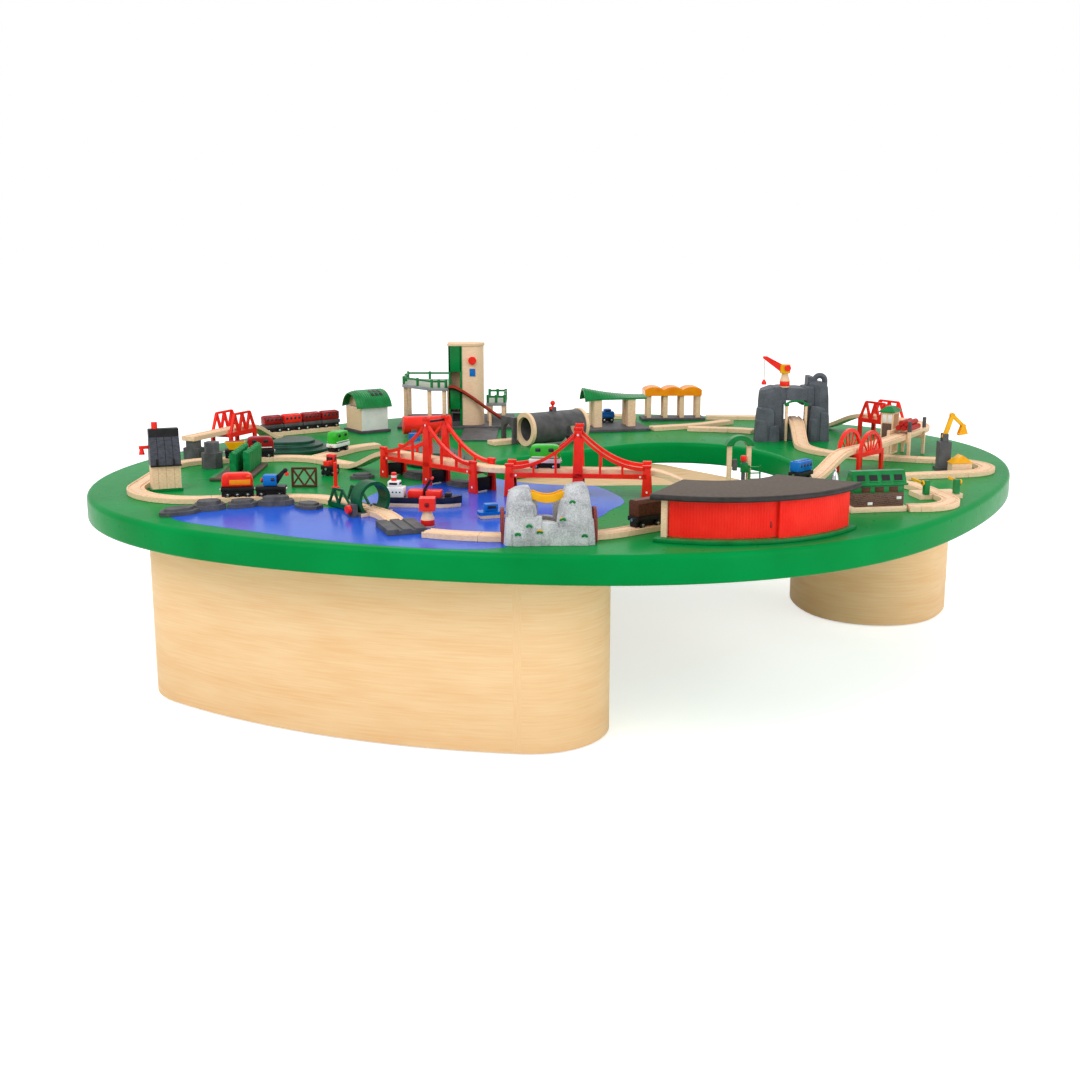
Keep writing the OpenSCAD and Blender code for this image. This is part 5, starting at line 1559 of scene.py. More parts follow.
    def mill_trim(self) -> Piece:
        """Build the battens of the mill's front and the planks of its roof.

        Returns:
            The finished piece.
        """
        piece = Workpiece("mill_trim", "table", MILL)
        for x in (-18, 0, 18):
            piece.block((x, -23.1, 32), (0.6, 0.4, 50), PLANK_LINE, 0.1)
        for x in (-17, 0, 17):
            steep = [(-27.0, 58.6), (-26.4, 58.6), (-23.6, 94.4), (-24.2, 94.6)]
            shallow = [(-24.4, 94.2), (-23.8, 94.0), (-9.8, 124.0), (-10.4, 124.4)]
            for batten in (steep, shallow):
                piece.slab(batten, x - 0.6, x + 0.6, BLACK, 0.1, "x")
        for x in (-20, 18):
            piece.block((x, -28.2, 68), (4, 4, 16), BLACK, 1.0)
        piece.block((0, -27.4, 60), (70, 2.4, 3.6), BLACK, 0.6)
        return piece.build()

    def build(self) -> list[Piece]:
        """Build the houses."""
        return [self.station_roof(), self.platform(), self.canopy(), self.orange_stop(), self.mill_trim()]


class Body(Enum):
    """The kinds of vehicle that stand on the track."""

    MOTOR = "engine with a round nose"
    COACH = "coach with windows"
    TIPPER = "tipping wagon"
    CAR = "road car"
    TRACTOR = "farm tractor"
    FREIGHT = "closed freight engine"


@dataclass(frozen=True)
class Vehicle:
    """One vehicle: its place, its kind, its colours and its half length in millimetres."""

    name: str
    at: Place
    kind: Body
    paint: Finish
    trim: Finish
    half_l: float = 34.0
    deck: float = 0.0


@dataclass
class RollingStock:
    """The standing trains, and the small work on the train that runs."""

    axle_z: float = 16.15
    floor_z: float = 34.15
    gauge: float = 26.0
    wheel_r: float = 7.0

    def vehicles(self) -> list[Vehicle]:
        """List the standing vehicles.

        Returns:
            The vehicles.
        """
        c, s = METRO.axes()
        coaches = []
        for i in range(4):
            along = 34 + 63 * i
            at = Place(METRO.x + along * c, METRO.y + along * s, METRO.heading)
            paint = RED if i == 1 else DEEP_RED
            coaches.append(Vehicle(f"metro_coach_{i + 1}", at, Body.COACH, paint, PLATE_GREY, 29.0))
        return coaches + [
            Vehicle("yellow_tipper", TIPPER, Body.TIPPER, YELLOW, BLACK, 26.0),
            Vehicle("red_railcar", FARM_ENGINE, Body.MOTOR, DEEP_RED, BLACK),
            Vehicle("branch_engine", BRANCH_ENGINE, Body.MOTOR, BRIGHT_GREEN, WHITE),
            Vehicle("deck_engine", DECK_ENGINE, Body.MOTOR, BRIGHT_GREEN, WHITE, 34.0, 50.0),
            Vehicle("brown_freight", COAL_ENGINE, Body.FREIGHT, DARK_WOOD, BLACK),
            Vehicle("blue_coach", BLUE_WAGON, Body.COACH, BLUE, BLACK, 30.0),
            Vehicle("blue_car", CANOPY_CAR, Body.CAR, BLUE, BLUE, 20.0, -1.0),
            Vehicle("red_tractor", TRACTOR, Body.TRACTOR, RED, BLACK, 18.0, -9.0)]

    def wheels(self, piece: Workpiece, x: float) -> None:
        """Add a pair of wheels with bright hubs on their axle.

        Args:
            piece: the piece to add to.
            x: where the axle is along the vehicle.
        """
        for way in (-1, 1):
            inner = way * (self.gauge / 2 - 2.2)
            self.disc(piece, x, inner, way)
        piece.turned([(2, 0), (2, self.gauge)], (x, -self.gauge / 2, self.axle_z), ZINC, "y", 12)

    def disc(self, piece: Workpiece, x: float, y: float, way: int) -> None:
        """Add one wheel: a black tyre with a bright hub on its outer face.

        Args:
            piece: the piece to add to.
            x: where it is along the vehicle.
            y: where its inner face is across it.
            way: 1 where the wheel faces left, -1 where it faces right.
        """
        r = self.wheel_r - 0.1
        tyre = [(r - 0.6, 0), (r, way * 0.6), (r, way * 3.8), (r - 0.6, way * 4.4)]
        piece.turned(tyre, (x, y, self.axle_z), BLACK, "y", 24)
        hub = [(3.4, way * 4.3), (3.2, way * 5.0), (1.2, way * 5.3)]
        piece.turned(hub, (x, y, self.axle_z), CHROME, "y", 16)

    def underframe(self, piece: Workpiece, half_l: float, finish: Finish) -> None:
        """Add the frame under a vehicle, with its couplings.

        Args:
            piece: the piece to add to.
            half_l: half its length.
            finish: finish of its upper part.
        """
        piece.block((0, 0, self.axle_z + 2.5), (2 * half_l, 19, 13), BLACK, 1.0)
        piece.block((0, 0, self.axle_z + 13), (2 * half_l + 2, 31.5, 10), finish, 1.5)
        for way in (-1, 1):
            magnet_at = (way * (half_l + 0.5), 0, self.axle_z + 11)
            piece.turned([(3.2, 0), (3.2, way * 3.5)], magnet_at, CHROME, "x", 14)

    def nose(self, half_l: float, half_w: float, height: float, low: float) -> Array:
        """Shape a body with a round nose: cross-sections along x that draw in towards both ends.

        Args:
            half_l: half its length.
            half_w: half its width.
            height: its height.
            low: where it starts.

        Returns:
            Array of (rings, points, 3).
        """
        t = np.linspace(-1, 1, 25)
        front = np.clip(1 - np.abs(t) ** 6, 0.02, 1) ** 0.28
        rings = []
        for along, size in zip(t, front):
            tall = height * (0.35 + 0.65 * size)
            section = rounded_rectangle(2 * half_w * (0.55 + 0.45 * size), tall, 5.0, 4)
            x = np.full(len(section), half_l * along)
            rings.append(np.column_stack([x, section[:, 0], section[:, 1] + low + tall / 2]))
        return np.array(rings)

    def body(self, piece: Workpiece, kind: Body, paint: Finish, half_l: float) -> None:
        """Add the body of a vehicle on its frame.

        Args:
            piece: the piece to add to.
            kind: kind of vehicle.
            paint: its main finish.
            half_l: half its length.
        """
        z = self.floor_z
        if kind is Body.MOTOR:
            piece.loft(self.nose(half_l, 15.5, 31, z), paint)
            for x in (-half_l * 0.45, half_l * 0.42):
                piece.block((x, 0, z + 20), (13, 32, 9), GLASS, 1.5)
            piece.block((-half_l + 5, 0, z + 20), (6, 21, 9), GLASS, 2.0)
            piece.block((0, 0, z + 4), (2 * half_l - 8, 32.2, 2.4), WHITE, 0.6)
        elif kind is Body.COACH:
            piece.block((0, 0, z + 12.5), (2 * half_l, 28, 25), paint, 4.0)
            for x in np.linspace(-half_l * 0.68, half_l * 0.68, 4):
                piece.block((x, 0, z + 15), (8.5, 28.6, 9), GLASS, 1.5)
            piece.block((0, 0, z + 25.4), (2 * half_l - 8, 14, 2.2), paint, 0.8)
        elif kind is Body.TIPPER:
            tub = [(-half_l * 0.6, z), (half_l * 0.6, z), (half_l, z + 20), (-half_l, z + 20)]
            piece.slab(tub, -14, 14, paint, 1.5, "y")
            piece.block((0, 0, z + 19.6), (2 * half_l - 5, 23, 1.6), SLIDE_RED, 0.5)
        elif kind is Body.CAR:
            piece.block((0, 0, z + 3.5), (2 * half_l + 2, 26, 9), paint, 3.0)
            piece.block((1, 0, z + 11.5), (22, 22, 9), paint, 3.5)
            piece.block((1, 0, z + 11), (15, 22.4, 5), GLASS, 1.0)
            piece.block((-9, 0, z + 11), (3, 16, 5), GLASS, 1.0)
        elif kind is Body.TRACTOR:
            piece.block((8, 0, z + 5.5), (24, 16, 13), paint, 2.0)
            piece.block((-10, 0, z + 12), (16, 22, 26), paint, 2.0)
            piece.block((-10, 0, z + 15), (16.6, 16, 9), GLASS, 1.0)
            piece.block((-10, 0, z + 15), (10, 22.6, 9), GLASS, 1.0)
            piece.turned([(2, 0), (2, 10), (1.2, 11)], (12, 0, z + 11), BLACK, "z", 14)
            for way in (-1, 1):
                rear = (-9, way * 10.5, 20)
                piece.turned([(9.5, 0), (10.5, way), (10.5, way * 5), (9.5, way * 6)], rear, BLACK, "y", 28)
                piece.turned([(4.5, way * 5.8), (4.2, way * 6.6), (1, way * 6.8)], rear, CHROME, "y", 18)
        else:
            piece.block((0, 0, z + 14), (2 * half_l - 2, 29, 28), paint, 1.5)
            hipped = [(-15.5, z + 26), (15.5, z + 26), (9, z + 33), (-9, z + 33)]
            piece.slab(hipped, -half_l, half_l, paint, 1.0, "x")
            for x in np.linspace(-half_l * 0.8, half_l * 0.8, 7):
                piece.block((x, 0, z + 13), (1.6, 30.0, 24), paint, 0.5)

    def standing(self) -> list[Piece]:
        """Build the standing vehicles.

        Returns:
            The finished pieces.
        """
        made = []
        for v in self.vehicles():
            piece = Workpiece(v.name, "table", Place(v.at.x, v.at.y, v.at.heading, v.deck))
            self.underframe(piece, v.half_l, v.trim)
            self.body(piece, v.kind, v.paint, v.half_l)
            for x in (-0.6 * v.half_l, 0.6 * v.half_l):
                self.wheels(piece, x)
            made.append(piece.build())
            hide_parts("parked_trains")
        return made

    def cargo_train(self) -> list[Piece]:
        """Build the body of the engine that runs, its wagon's frame, the crane cab and their wheels.

        Returns:
            The finished pieces.
        """
        engine_at = bend_place(ENGINE_HEADING)
        wagon_at = bend_place(WAGON_HEADING)
        z = self.floor_z + RUNNING_LIFT
        engine = Workpiece("cargo_engine_body", "cargo_train", engine_at)
        self.underframe(engine, 35, BLACK)
        engine.loft(self.nose(34, 15.5, 30, z), RED)
        engine.block((6, 0, z + 11), (46, 31.4, 12), ORANGE, 1.0)
        engine.block((3, 0, z + 24), (50, 30.8, 2.2), ORANGE, 0.5)
        engine.block((-29, 0, z + 18), (7, 22, 8), GLASS, 2.0)
        for x in (-14, 0, 14):
            engine.block((x, 0, z + 26.5), (7, 29.4, 1.6), BLACK, 0.4)
        made = [engine.build()]
        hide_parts("cargo_engine")
        wagon = Workpiece("crane_wagon_frame", "cargo_train", wagon_at)
        self.underframe(wagon, 32, BLACK)
        made.append(wagon.build())
        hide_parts("crane_wagon")
        cab = Workpiece("crane_cab", "wagon_cab", wagon_at)
        cab.block((-1, 0, z + 12.5), (30, 26, 24), BLUE, 2.5)
        cab.block((6, 0, z + 15), (10, 26.6, 9), GLASS, 1.5)
        cab.block((14.2, 0, z + 15), (1.2, 18, 9), GLASS, 0.5)
        cab.slab([(9, z + 4), (16, z + 4), (36, z + 35), (31, z + 38), (8, z + 18)], -3, 3, BLACK, 0.8, "y")
        cab.turned([(1.5, -5), (5, -3.5), (5, 3.5), (1.5, 5)], (33, 0, z + 34), BLACK, "y", 18)
        load = [(1.0, -13), (4.5, -11), (5.0, -8), (3.5, -4.5), (1.0, -3.5)]
        cab.turned(load, (36, 0, z + 34), RED, "z", 18)
        cab.turned([(1, 0), (5, 1.2), (5.5, 4), (3, 6.5)], (-22.5, 0, z + 12), RED, "x", 18)
        made.append(cab.build())
        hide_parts("wagon_cab")
        rows = (
            ("engine_axle_rear", engine_at, -22),
            ("engine_axle_middle", engine_at, 0),
            ("engine_axle_front", engine_at, 22),
            ("wagon_axle_rear", wagon_at, -20),
            ("wagon_axle_front", wagon_at, 20))
        for body, at, x in rows:
            piece = Workpiece(body + "_wheels", body, Place(at.x, at.y, at.heading, RUNNING_LIFT))
            self.wheels(piece, x)
            made.append(piece.build())
            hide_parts(body)
        return made

    def build(self) -> list[Piece]:
        """Build all trains."""
        return self.standing() + self.cargo_train()


def bend_place(heading: float) -> Place:
    """Find a place on the long bend at a heading h: the bend's middle plus r (-sin h, cos h).

    Args:
        heading: way that the track runs there, in degrees.

    Returns:
        The place, turned to the heading.
    """
    a = math.radians(heading)
    x, y = BEND_MIDDLE
    return Place(x - BEND_R * math.sin(a), y + BEND_R * math.cos(a), heading)


@dataclass
class Harbour:
    """The boats, the feet of the cranes and the dial on the harbour crane."""

    def hull(
        self, piece: Workpiece, half_l: float, half_w: float, steps: Sequence[tuple[float, float]],
        finish: Finish, sheer: float
    ) -> None:
        """Add part of a hull.

        Half width at a share t of the length from the stern is w (1 - max(0, (t - 0.7) / 0.3)^2.2), and it is
        drawn in over the last twentieth at the stern.

        Args:
            piece: the piece to add to.
            half_l: half length.
            half_w: half width.
            steps: pairs of height and scale from the lowest ring up.
            finish: its finish.
            sheer: how much the last ring rises at the bow.
        """
        t = np.linspace(0.0, 1.0, 41)
        breadth = half_w * (1 - np.clip((t - 0.7) / 0.3, 0, 1) ** 2.2) * np.clip(t / 0.05, 0.55, 1) ** 0.6
        x = half_l * (2 * t - 1)
        right = np.column_stack([x, -breadth])
        left = np.column_stack([x, breadth])[::-1]
        outline = np.concatenate([right, left[1:-1]])
        last = len(steps) - 1
        rings = []
        for index, (height, scale) in enumerate(steps):
            lift = sheer * np.clip((outline[:, 0] / half_l - 0.3) / 0.7, 0, 1) ** 2 if index == last else 0.0
            rings.append(np.column_stack([outline * scale, np.full(len(outline), height) + lift]))
        piece.loft(np.array(rings), finish)

    def freighter(self) -> Piece:
        """Build the freighter: wooden keel, navy hull, white deck house, red hatches and a black crane.

        Returns:
            The finished piece.
        """
        piece = Workpiece("freighter", "table", FREIGHTER)
        self.hull(piece, 88, 21.5, [(0, 0.95), (1.5, 0.97), (9, 0.98)], BEECH, 0)
        self.hull(piece, 88.5, 21.8, [(9, 0.985), (10, 1.0), (18, 1.0), (21, 1.0)], NAVY, 5)
        piece.block((-58, 0, 31), (40, 32, 22), WHITE, 2.0)
        piece.block((-61, 0, 48), (26, 26, 14), WHITE, 2.0)
        for y in (-16, 16):
            for x in (-70, -62, -54, -46):
                piece.turned([(1.8, -0.4), (1.8, 0.4)], (x, y, 32), BLACK, "y", 12)
        piece.block((-48.2, 0, 49), (1.4, 20, 5), BLACK, 0.4)
        piece.block((-61, 0, 50), (18, 26.6, 5), BLACK, 0.6)
        piece.turned([(6, 0), (6, 17), (5, 18)], (-62, 0, 55), RED, "z", 20)
        piece.turned([(6.2, 0), (6.2, 5)], (-62, 0, 62), WHITE, "z", 20)
        for x in (-13, 27):
            piece.block((x, 0, 28), (34, 30, 16), RED, 3.0)
        piece.block((7, 0, 30), (7, 9, 20), BLACK, 0.8)
        piece.slab([(4, 38), (10, 38), (26, 62), (20, 64)], -4, 4, BLACK, 0.6, "y")
        piece.turned([(3, -5), (3, 5)], (23, 0, 62), RED, "y", 14)
        piece.block((58, 0, 26), (14, 16, 10), BLACK, 1.5)
        made = piece.build()
        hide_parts("boats")
        return made

    def small_boat(self) -> Piece:
        """Build the small blue boat with its wooden bottom.

        Returns:
            The finished piece.
        """
        piece = Workpiece("small_boat", "table", BOAT)
        self.hull(piece, 40, 14.4, [(0, 0.94), (1, 0.96), (7, 0.98)], BEECH, 0)
        self.hull(piece, 41, 14.8, [(7, 0.99), (8, 1.0), (12, 1.0), (14, 1.0)], BLUE, 2)
        piece.block((-12, 0, 22), (28, 20, 16), BLUE, 2.5)
        piece.block((-12, 0, 23), (20, 20.6, 7), GLASS, 0.8)
        made = piece.build()
        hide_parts("boats")
        return made

    def feet(self) -> list[Piece]:
        """Turn the two wooden crane feet, each with a red band, and the harbour crane's dial.

        Returns:
            The finished pieces.
        """
        made = []
        feet = (
            ("crane_foot", CRANE, CRANE_FOOT_LOW, CRANE_FOOT_H),
            ("harbour_foot", HARBOUR, 0.0, HARBOUR_FOOT_H))
        for name, at, low, h in feet:
            piece = Workpiece(name, "table", at)
            bottle = [
                (13.4, 0), (14, 0.8), (14, 0.46 * h), (13.4, 0.56 * h), (10.8, 0.75 * h), (9.6, 0.9 * h),
                (9.4, h - 0.8), (8.8, h)]
            band = [(14.0, 0.1 * h), (14.25, 0.11 * h), (14.25, 0.44 * h), (13.6, 0.46 * h)]
            piece.turned(bottle, (0, 0, low), BEECH_PALE, "z", 40)
            piece.turned(band, (0, 0, low), RED, "z", 40)
            made.append(piece.build())
            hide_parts("crane_feet")
        dial = Workpiece("harbour_dial", "harbour_head", HARBOUR)
        dial.turned([(5, 0), (5, -1.0), (4, -1.4)], (0, -15.2, HARBOUR_FOOT_H + 14), DEEP_RED, "y", 24)
        dial.turned([(2, 0), (2, -0.6)], (0, -16.4, HARBOUR_FOOT_H + 14), BLACK, "y", 16)
        made.append(dial.build())
        return made

    def build(self) -> list[Piece]:
        """Build the harbour."""
        return [self.freighter(), self.small_boat(), *self.feet()]


@dataclass
class Yard:
    """Hedges, the loading pier's tower and logs, the gantry's stair, and other small work."""

    def hedges(self) -> Piece:
        """Grow two leafy hedges: a rounded section carried along x.

        At a length s round the section it bulges by 0.08 sin(2 pi s / 12 + k pi) |sin(pi x / 11)|^0.5 of its
        size, where k counts the leaves of 11 mm along x.

        Returns:
            The finished piece.
        """
        piece = Workpiece("leafy_hedges", "table", HEDGES)
        section = rounded_rectangle(15.5, 52.0, 5.0, 5)
        sides = zip(section, np.roll(section, -1, axis=0))
        section = np.concatenate([np.linspace(a, b, 3, endpoint=False) for a, b in sides])
        step = np.linalg.norm(np.diff(section, axis=0, append=section[:1]), axis=1)
        s = np.concatenate([[0.0], np.cumsum(step)[:-1]])
        for start, end, middle in ((-70, 90, 1.0), (-50, 105, -28.0)):
            x = np.linspace(start, end, 58)
            lobe = np.pi * np.floor(x[:, None] / 11)
            leaf = np.abs(np.sin(math.pi * x[:, None] / 11)) ** 0.5
            swell = 1 + 0.08 * np.sin(2 * math.pi * s[None, :] / 12 + lobe) * leaf
            crest = 1 + 0.03 * np.sin(2 * math.pi * x / 44)
            rings = np.zeros((len(x), len(s), 3))
            rings[..., 0] = x[:, None]
            rings[..., 1] = middle + section[None, :, 0] * swell
            rings[..., 2] = 8.2 + np.maximum(26.4 + section[None, :, 1] * swell * crest[:, None], 0.0)
            piece.loft(rings, HEDGE)
        piece.block((0, 42, 8.3), (224, 12, 0.8), TOY_GREEN, 0.3)
        return piece.build()

    def pier_load(self) -> Piece:
        """Build the green roof and pale panels of the pier's tower, its red logs and its dark bollards.

        Returns:
            The finished piece.
        """
        piece = Workpiece("pier_load", "table", PIER)
        turn = np.radians([45, 135, 225, 315])
        plan = np.column_stack([np.cos(turn), np.sin(turn)]) * math.sqrt(2)
        roof = [np.column_stack([plan * np.array([w, d]) + np.array([17.0, 53.0]), np.full(4, h)])
                for w, d, h in ((28, 22, 112.2), (28, 22, 115.0), (14, 9, 126.0), (12, 7, 127.5))]
        piece.loft(np.array(roof), TOY_GREEN)
        for y in (45, 60):
            piece.block((-6.2, y, 96), (0.8, 11, 20), WHITE, 0.3)
        piece.block((-6.2, 53, 54), (0.8, 26, 58), BRICK_PIER, 0.3)
        for row, z in ((2, 77.4), (1, 89.9)):
            for k in range(row + 1):
                y = -4 + (k - row / 2) * 15
                piece.turned([(6.2, 0), (7.2, 1.0), (7.2, 71), (6.2, 72)], (-36, y, z), LOG_RED, "x", 18)
        for x in (-56, 56):
            piece.turned([(5, 0), (5, 26), (4, 27)], (x, -28, 72), PLATE_GREY, "z", 18)
        return piece.build()

    def gantry_stair(self) -> Piece:
        """Build the green ladder, the signal box and the dark post with its red button beside the gantry.

        Returns:
            The finished piece.
        """
        piece = Workpiece("gantry_stair", "table", GANTRY)
        piece.block((-4, 11, 62), (10, 10, 26), PLATE_GREY, 1.0)
        piece.block((-10, -8, 36), (8, 8, 72), PLATE_GREY, 0.8)
        piece.turned([(6.6, 0), (7.0, 0.8), (7.0, 10), (5.6, 12)], (-10, -8, 72), RED, "z", 22)
        piece.block((-10, -10, 56), (11, 16, 22), TOY_GREEN, 1.0)
        for y in (-20, -46):
            piece.tube(np.array([[-16.0, y, 4.0], [-16.0, y, 62.0]]), 2.0, TOY_GREEN, 10)
        for z in (16, 30, 44, 58):
            piece.block((-16, -33, z), (4, 27, 3), TOY_GREEN, 0.8)
        return piece.build()

    def arch_spokes(self) -> Piece:
        """Build the spokes of the arch bridge, from the deck's edge to the ring.

        Returns:
            The finished piece.
        """
        piece = Workpiece("arch_spokes", "table", ARCH)
        for y in (-30.0, 30.0):
            for angle in (38, 66, 90, 114, 142):
                a = math.radians(angle)
                foot = np.array([14 * math.cos(a) * 1.6, y, 54.0])
                tip = np.array([48 * math.cos(a), y, 50 + 48 * math.sin(a)])
                piece.tube(np.stack([foot, tip]), 2.2, RED, 8)
        return piece.build()

    def bell(self) -> Piece:
        """Turn the bright bell on its red post.

        Returns:
            The finished piece.
        """
        piece = Workpiece("signal_bell", "table", Place(606, -380))
        piece.turned([(7, 0), (7, 22), (6, 23)], (0, 0, 0), RED, "z", 20)
        dome = [(9, 23), (9.4, 24), (8.6, 27), (7.2, 34), (5.6, 40), (3, 44), (2.2, 46), (2.8, 49), (1.4, 52)]
        piece.turned(dome, (0, 0, 0), CHROME, "z", 28)
        return piece.build()

    def shed_grip(self) -> Piece:
        """Build the small grip near the edge of the shed's sliding panel.

        Returns:
            The finished piece.
        """
        a = math.radians(GRIP_TURN)
        at = Place(SHED.x + GRIP_R * math.cos(a), SHED.y + GRIP_R * math.sin(a), GRIP_TURN)
        piece = Workpiece("shed_grip", "shed_door", at)
        piece.block((0, 0, 34), (1.6, 3.4, 13), DEEP_RED, 0.6)
        return piece.build()

    def build(self) -> list[Piece]:
        """Build the yard's small work.

        Returns:
            The finished pieces.
        """
        return [
            self.hedges(), self.pier_load(), self.gantry_stair(), self.arch_spokes(), self.bell(),
            self.shed_grip()]


@dataclass
class Studio:
    """The floor, the lights and the camera of the portrait."""

    lens: float = 46.87
    camera_at: tuple[float, float, float] = (-0.0756, -3.580, 1.035)
    pitch: float = 12.54
    sensor: float = 36.0
    floor_half: float = 30.0
    floor_glow: float = 0.6
    sky_light: float = 0.78

    def build(self) -> None:
        """Set the stage."""
        scene = bpy.context.scene
        scene.view_settings.view_transform = "Standard"
        self.floor()
        self.world()
        self.lamp("key", (-2.2, -2.6, 3.6), (0.0, 0.0, 0.4), 3.0, 78.0)
        self.lamp("fill", (3.2, -2.6, 1.5), (0.4, 0.0, 0.3), 3.0, 42.0)
        self.lamp("back", (0.4, 3.4, 3.4), (0.0, 0.2, 0.4), 3.0, 40.0)
        data = bpy.data.cameras.new("portrait")
        data.lens = self.lens
        data.sensor_width = self.sensor
        camera = bpy.data.objects.new("portrait", data)
        camera.location = self.camera_at
        camera.rotation_euler = (math.radians(90 - self.pitch), 0.0, 0.0)
        scene.collection.objects.link(camera)
        scene.camera = camera

    def floor(self) -> None:
        """Lay a pale floor that reads white to the camera and keeps a soft shadow."""
        mesh = bpy.data.meshes.new("studio_floor")
        s = self.floor_half
        mesh.from_pydata([(-s, -s, 0), (s, -s, 0), (s, s, 0), (-s, s, 0)], [], [(0, 1, 2, 3)])
        mat = bpy.data.materials.new("studio_floor")
        mat.use_nodes = True
        tree = mat.node_tree
        bsdf = tree.nodes["Principled BSDF"]
        bsdf.inputs["Base Color"].default_value = (0.86, 0.86, 0.86, 1)
        bsdf.inputs["Roughness"].default_value = 0.9
        bsdf.inputs["Emission Color"].default_value = (1, 1, 1, 1)
        path = tree.nodes.new("ShaderNodeLightPath")
        either = tree.nodes.new("ShaderNodeMath")
        either.operation = "MAXIMUM"
        more = tree.nodes.new("ShaderNodeMath")
        more.operation = "MAXIMUM"
        level = tree.nodes.new("ShaderNodeMath")
        level.operation = "MULTIPLY"
        level.inputs[1].default_value = self.floor_glow
        tree.links.new(path.outputs["Is Camera Ray"], either.inputs[0])
        tree.links.new(path.outputs["Is Glossy Ray"], either.inputs[1])
        tree.links.new(either.outputs[0], more.inputs[0])
        tree.links.new(path.outputs["Is Transmission Ray"], more.inputs[1])
        tree.links.new(more.outputs[0], level.inputs[0])
        tree.links.new(level.outputs[0], bsdf.inputs["Emission Strength"])
        mesh.materials.append(mat)
        floor = bpy.data.objects.new("studio_floor", mesh)
        bpy.context.scene.collection.objects.link(floor)

    def world(self) -> None:
        """Light the room with an even white sky."""
        world = bpy.data.worlds.new("studio_sky")
        world.use_nodes = True
        tree = world.node_tree
        sky = tree.nodes["Background"]
        sky.inputs["Color"].default_value = (1, 1, 1, 1)
        path = tree.nodes.new("ShaderNodeLightPath")
        level = tree.nodes.new("ShaderNodeMapRange")
        level.inputs["To Min"].default_value = self.sky_light
        level.inputs["To Max"].default_value = 1.0
        tree.links.new(path.outputs["Is Camera Ray"], level.inputs["Value"])
        tree.links.new(level.outputs["Result"], sky.inputs["Strength"])
        bpy.context.scene.world = world

    def lamp(self, name: str, at: Sequence[float], aim: Sequence[float], size: float, power: float) -> None:
        """Hang one soft lamp.

        Args:
            name: its name.
            at: where it hangs.
            aim: the point it faces.
            size: its width.
            power: its power in watts.
        """
        data = bpy.data.lights.new(name, "AREA")
        data.size = size
        data.energy = power
        lamp = bpy.data.objects.new(name, data)
        way = np.asarray(aim, float) - np.asarray(at, float)
        flat = math.hypot(way[0], way[1])
        lamp.location = tuple(at)
        lamp.rotation_euler = (math.atan2(flat, -way[2]), 0.0, math.atan2(-way[0], way[1]))
        bpy.context.scene.collection.objects.link(lamp)


def fixed_nodes() -> list[CarriedNode]:
    """List the nodes of the table and its scenery that keep their form.

    Returns:
        The nodes.
    """
    return [
        CarriedNode("lake_panel", "table", LAKE_SHEET, ease=0),
        CarriedNode("pedestal_frames", "table", BOARD, ease=0),
        CarriedNode("pedestal_fixings", "table", ZINC, ease=0),
        CarriedNode("under_shelf", "table", BOARD, ease=0),
        CarriedNode("ground_track", "table", BEECH, ease=0.8),
        CarriedNode("raised_track", "table", BEECH, ease=0.8),
        CarriedNode("grey_plates", "table", PLATE_GREY, ease=1.0),
        CarriedNode("shore_rocks", "table", SLATE, ease=3.0),
        CarriedNode("hills_and_hedges", "table", HILL, [
            (BED_BROWN, zone(HEDGES, (-116, 116), (-50, 50), (-1, 8.1)))],
            ease=2.5, drop=[zone(HEDGES, (-116, 116), (-50, 50), (8.1, 70))]),
        CarriedNode("rope_bridge", "table", YELLOW, ease=0.8),
        CarriedNode("truss_bridges", "table", RED, ease=0.9),
        CarriedNode("bascule_base", "table", SLATE, [
            (DARK_GREEN, zone(BASCULE, (9.5, 46.5), (20.5, 45), (8.1, 90))),
            (DARK_GREEN, zone(BASCULE, (9.5, 46.5), (-39.4, -20.5), (8.1, 90))),
            (DARK_GREEN, zone(BASCULE, (9.5, 46.5), (-39.4, 45), (30, 90))),
            (BEECH, zone(BASCULE, (6, 60), (-20.2, 20.2), (8.2, 14)))], ease=1.0),
        CarriedNode("mill_house", "table", BEECH, [
            (TOY_GREEN, zone(MILL, z=(-1, 6.1))), (RED, zone(MILL, z=(58.5, 170)))], ease=1.0),
        CarriedNode("station_house", "table", WHITE, [(BEECH, zone(STATION, x=(-45, -37)))], ease=1.0),
        CarriedNode("toy_roofs", "table", ROOF_SLATE, [(BLACK, zone(MILL, z=(124.5, 150)))], ease=1.2,
                    keep=[zone(MILL, (-60, 60), (-60, 60))]),
        CarriedNode("canopy_posts", "table", BEECH, ease=0.8),
        CarriedNode("storage_tank", "table", PLATE_GREY, [
            (RED, around_x(TANK, 34, 26.1, (-71, 71))),
            (BLUE, zone(BLUE_CRATE, (-15, 15), (-11, 11)))], ease=1.0),
        CarriedNode("log_tunnel", "table", PLATE_GREY, [
            (BEECH, zone(LOG_TUNNEL, (85.1, 97), (-48, 48))),
            (BEECH, zone(LOG_TUNNEL, (-97, -85.1), (-48, 48)))], ease=1.0),
        CarriedNode("yard_frames", "table", BEECH, [
            (TOY_GREEN, zone(GANTRY, (-60, 60), (-60, 60), (106.05, 150))),
            (RED, zone(SIGNAL, (-12, 12), (-12, 12))),
            (DARK_WOOD, zone(LATTICE, (-40, 40), (-20, 20))),
            (YELLOW, zone(HUT, (-40, 40), (-30, 30), (24.1, 60)))], ease=0.8),
        CarriedNode("crossing_base", "table", BEECH, [(TOY_GREEN, zone(CROSSING, z=(11.1, 60)))], ease=0.8),
        CarriedNode("digger_tower", "table", PLATE_GREY, ease=0.8),
    ]


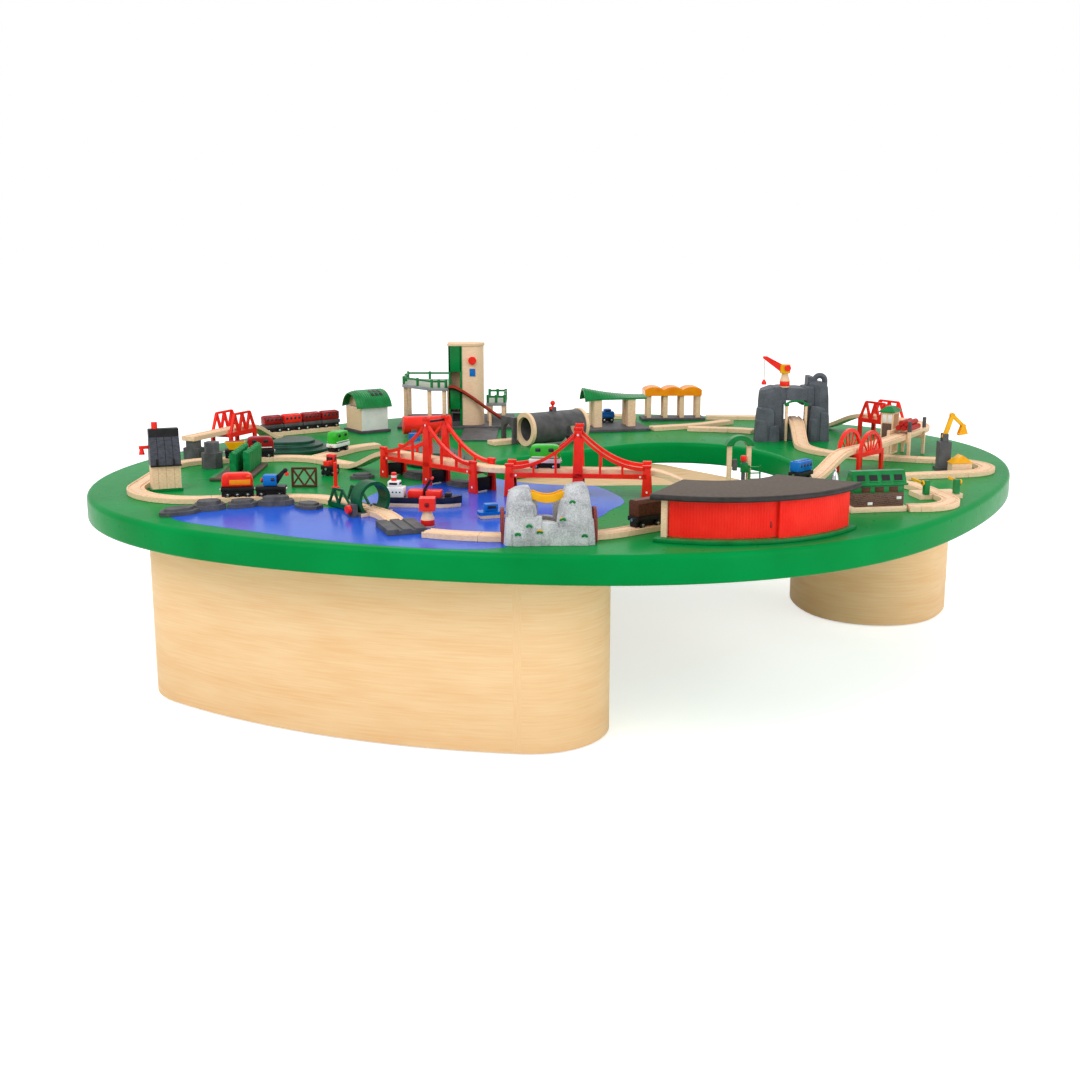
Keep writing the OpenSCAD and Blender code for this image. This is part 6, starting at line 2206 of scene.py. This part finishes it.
def moving_nodes() -> list[CarriedNode]:
    """List the nodes of the moving toys.

    Returns:
        The nodes.
    """
    return [
        CarriedNode("bascule_leaf", "bascule_leaf", DARK_GREEN, [
            (BEECH, zone(BASCULE, (-110, 5), (-20.9, 20.9), (8.5, 13)))], ease=0.8),
        CarriedNode("bascule_knob", "bascule_knob", RED, ease=1.0),
        CarriedNode("lift_car", "lift_car", PLATE_GREY, ease=0.6),
        CarriedNode("lift_knob", "lift_knob", RED, ease=1.5),
        CarriedNode("tunnel_lever", "tunnel_lever", RED, ease=0.4),
        CarriedNode("crossing_gate_left", "crossing_gate_left", YELLOW, ease=0.6),
        CarriedNode("crossing_gate_right", "crossing_gate_right", YELLOW, ease=0.6),
        CarriedNode("digger_boom", "digger_boom", YELLOW, ease=0.8),
        CarriedNode("digger_bucket", "digger_bucket", YELLOW, ease=0.8),
        CarriedNode("crane_head", "crane_head", YELLOW, [(RED, zone(CRANE, x=(14.5, 80)))], ease=0.8),
        CarriedNode("hoist_string", "crane_head", STRING, ease=0),
        CarriedNode("crane_winch", "crane_winch", RED, ease=0.8),
        CarriedNode("crane_hook", "crane_hook", RED, ease=0.8),
        CarriedNode("harbour_head", "harbour_head", RED, ease=1.0),
    ]


def report(*pieces: Piece) -> None:
    """Log the name of each finished piece."""
    for piece in pieces:
        LOG.info("%s", piece.name)


def main() -> None:
    """Build the dressed table in order."""
    logging.basicConfig(level=logging.INFO, format="%(message)s")
    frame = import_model()
    nodes = frame["nodes"]
    report(TableTop().build())
    for pedestal in (
        Pedestal("pedestal_front", Place(-442, -614, -22.4), 541, 218, 165),
        Pedestal("pedestal_right", Place(852, 292, 80), 285, 214, 190),
        Pedestal("pedestal_rear", Place(-430, 700, 30), 400, 214, 165),
    ):
        report(pedestal.build())
    report(*CurvedShed().build())
    report(*TwinPeaks().build(nodes))
    report(*Mountain().build())
    report(SuspensionBridge("near_suspension_bridge", BRIDGE_2).build())
    report(SuspensionBridge("far_suspension_bridge", BRIDGE_1).build())
    for group in (Garage(), Houses(), RollingStock(), Harbour(), Yard()):
        report(*group.build())
    for carried in fixed_nodes() + moving_nodes():
        report(carried.build(nodes))
    Studio().build()


if __name__ == "__main__":
    main()
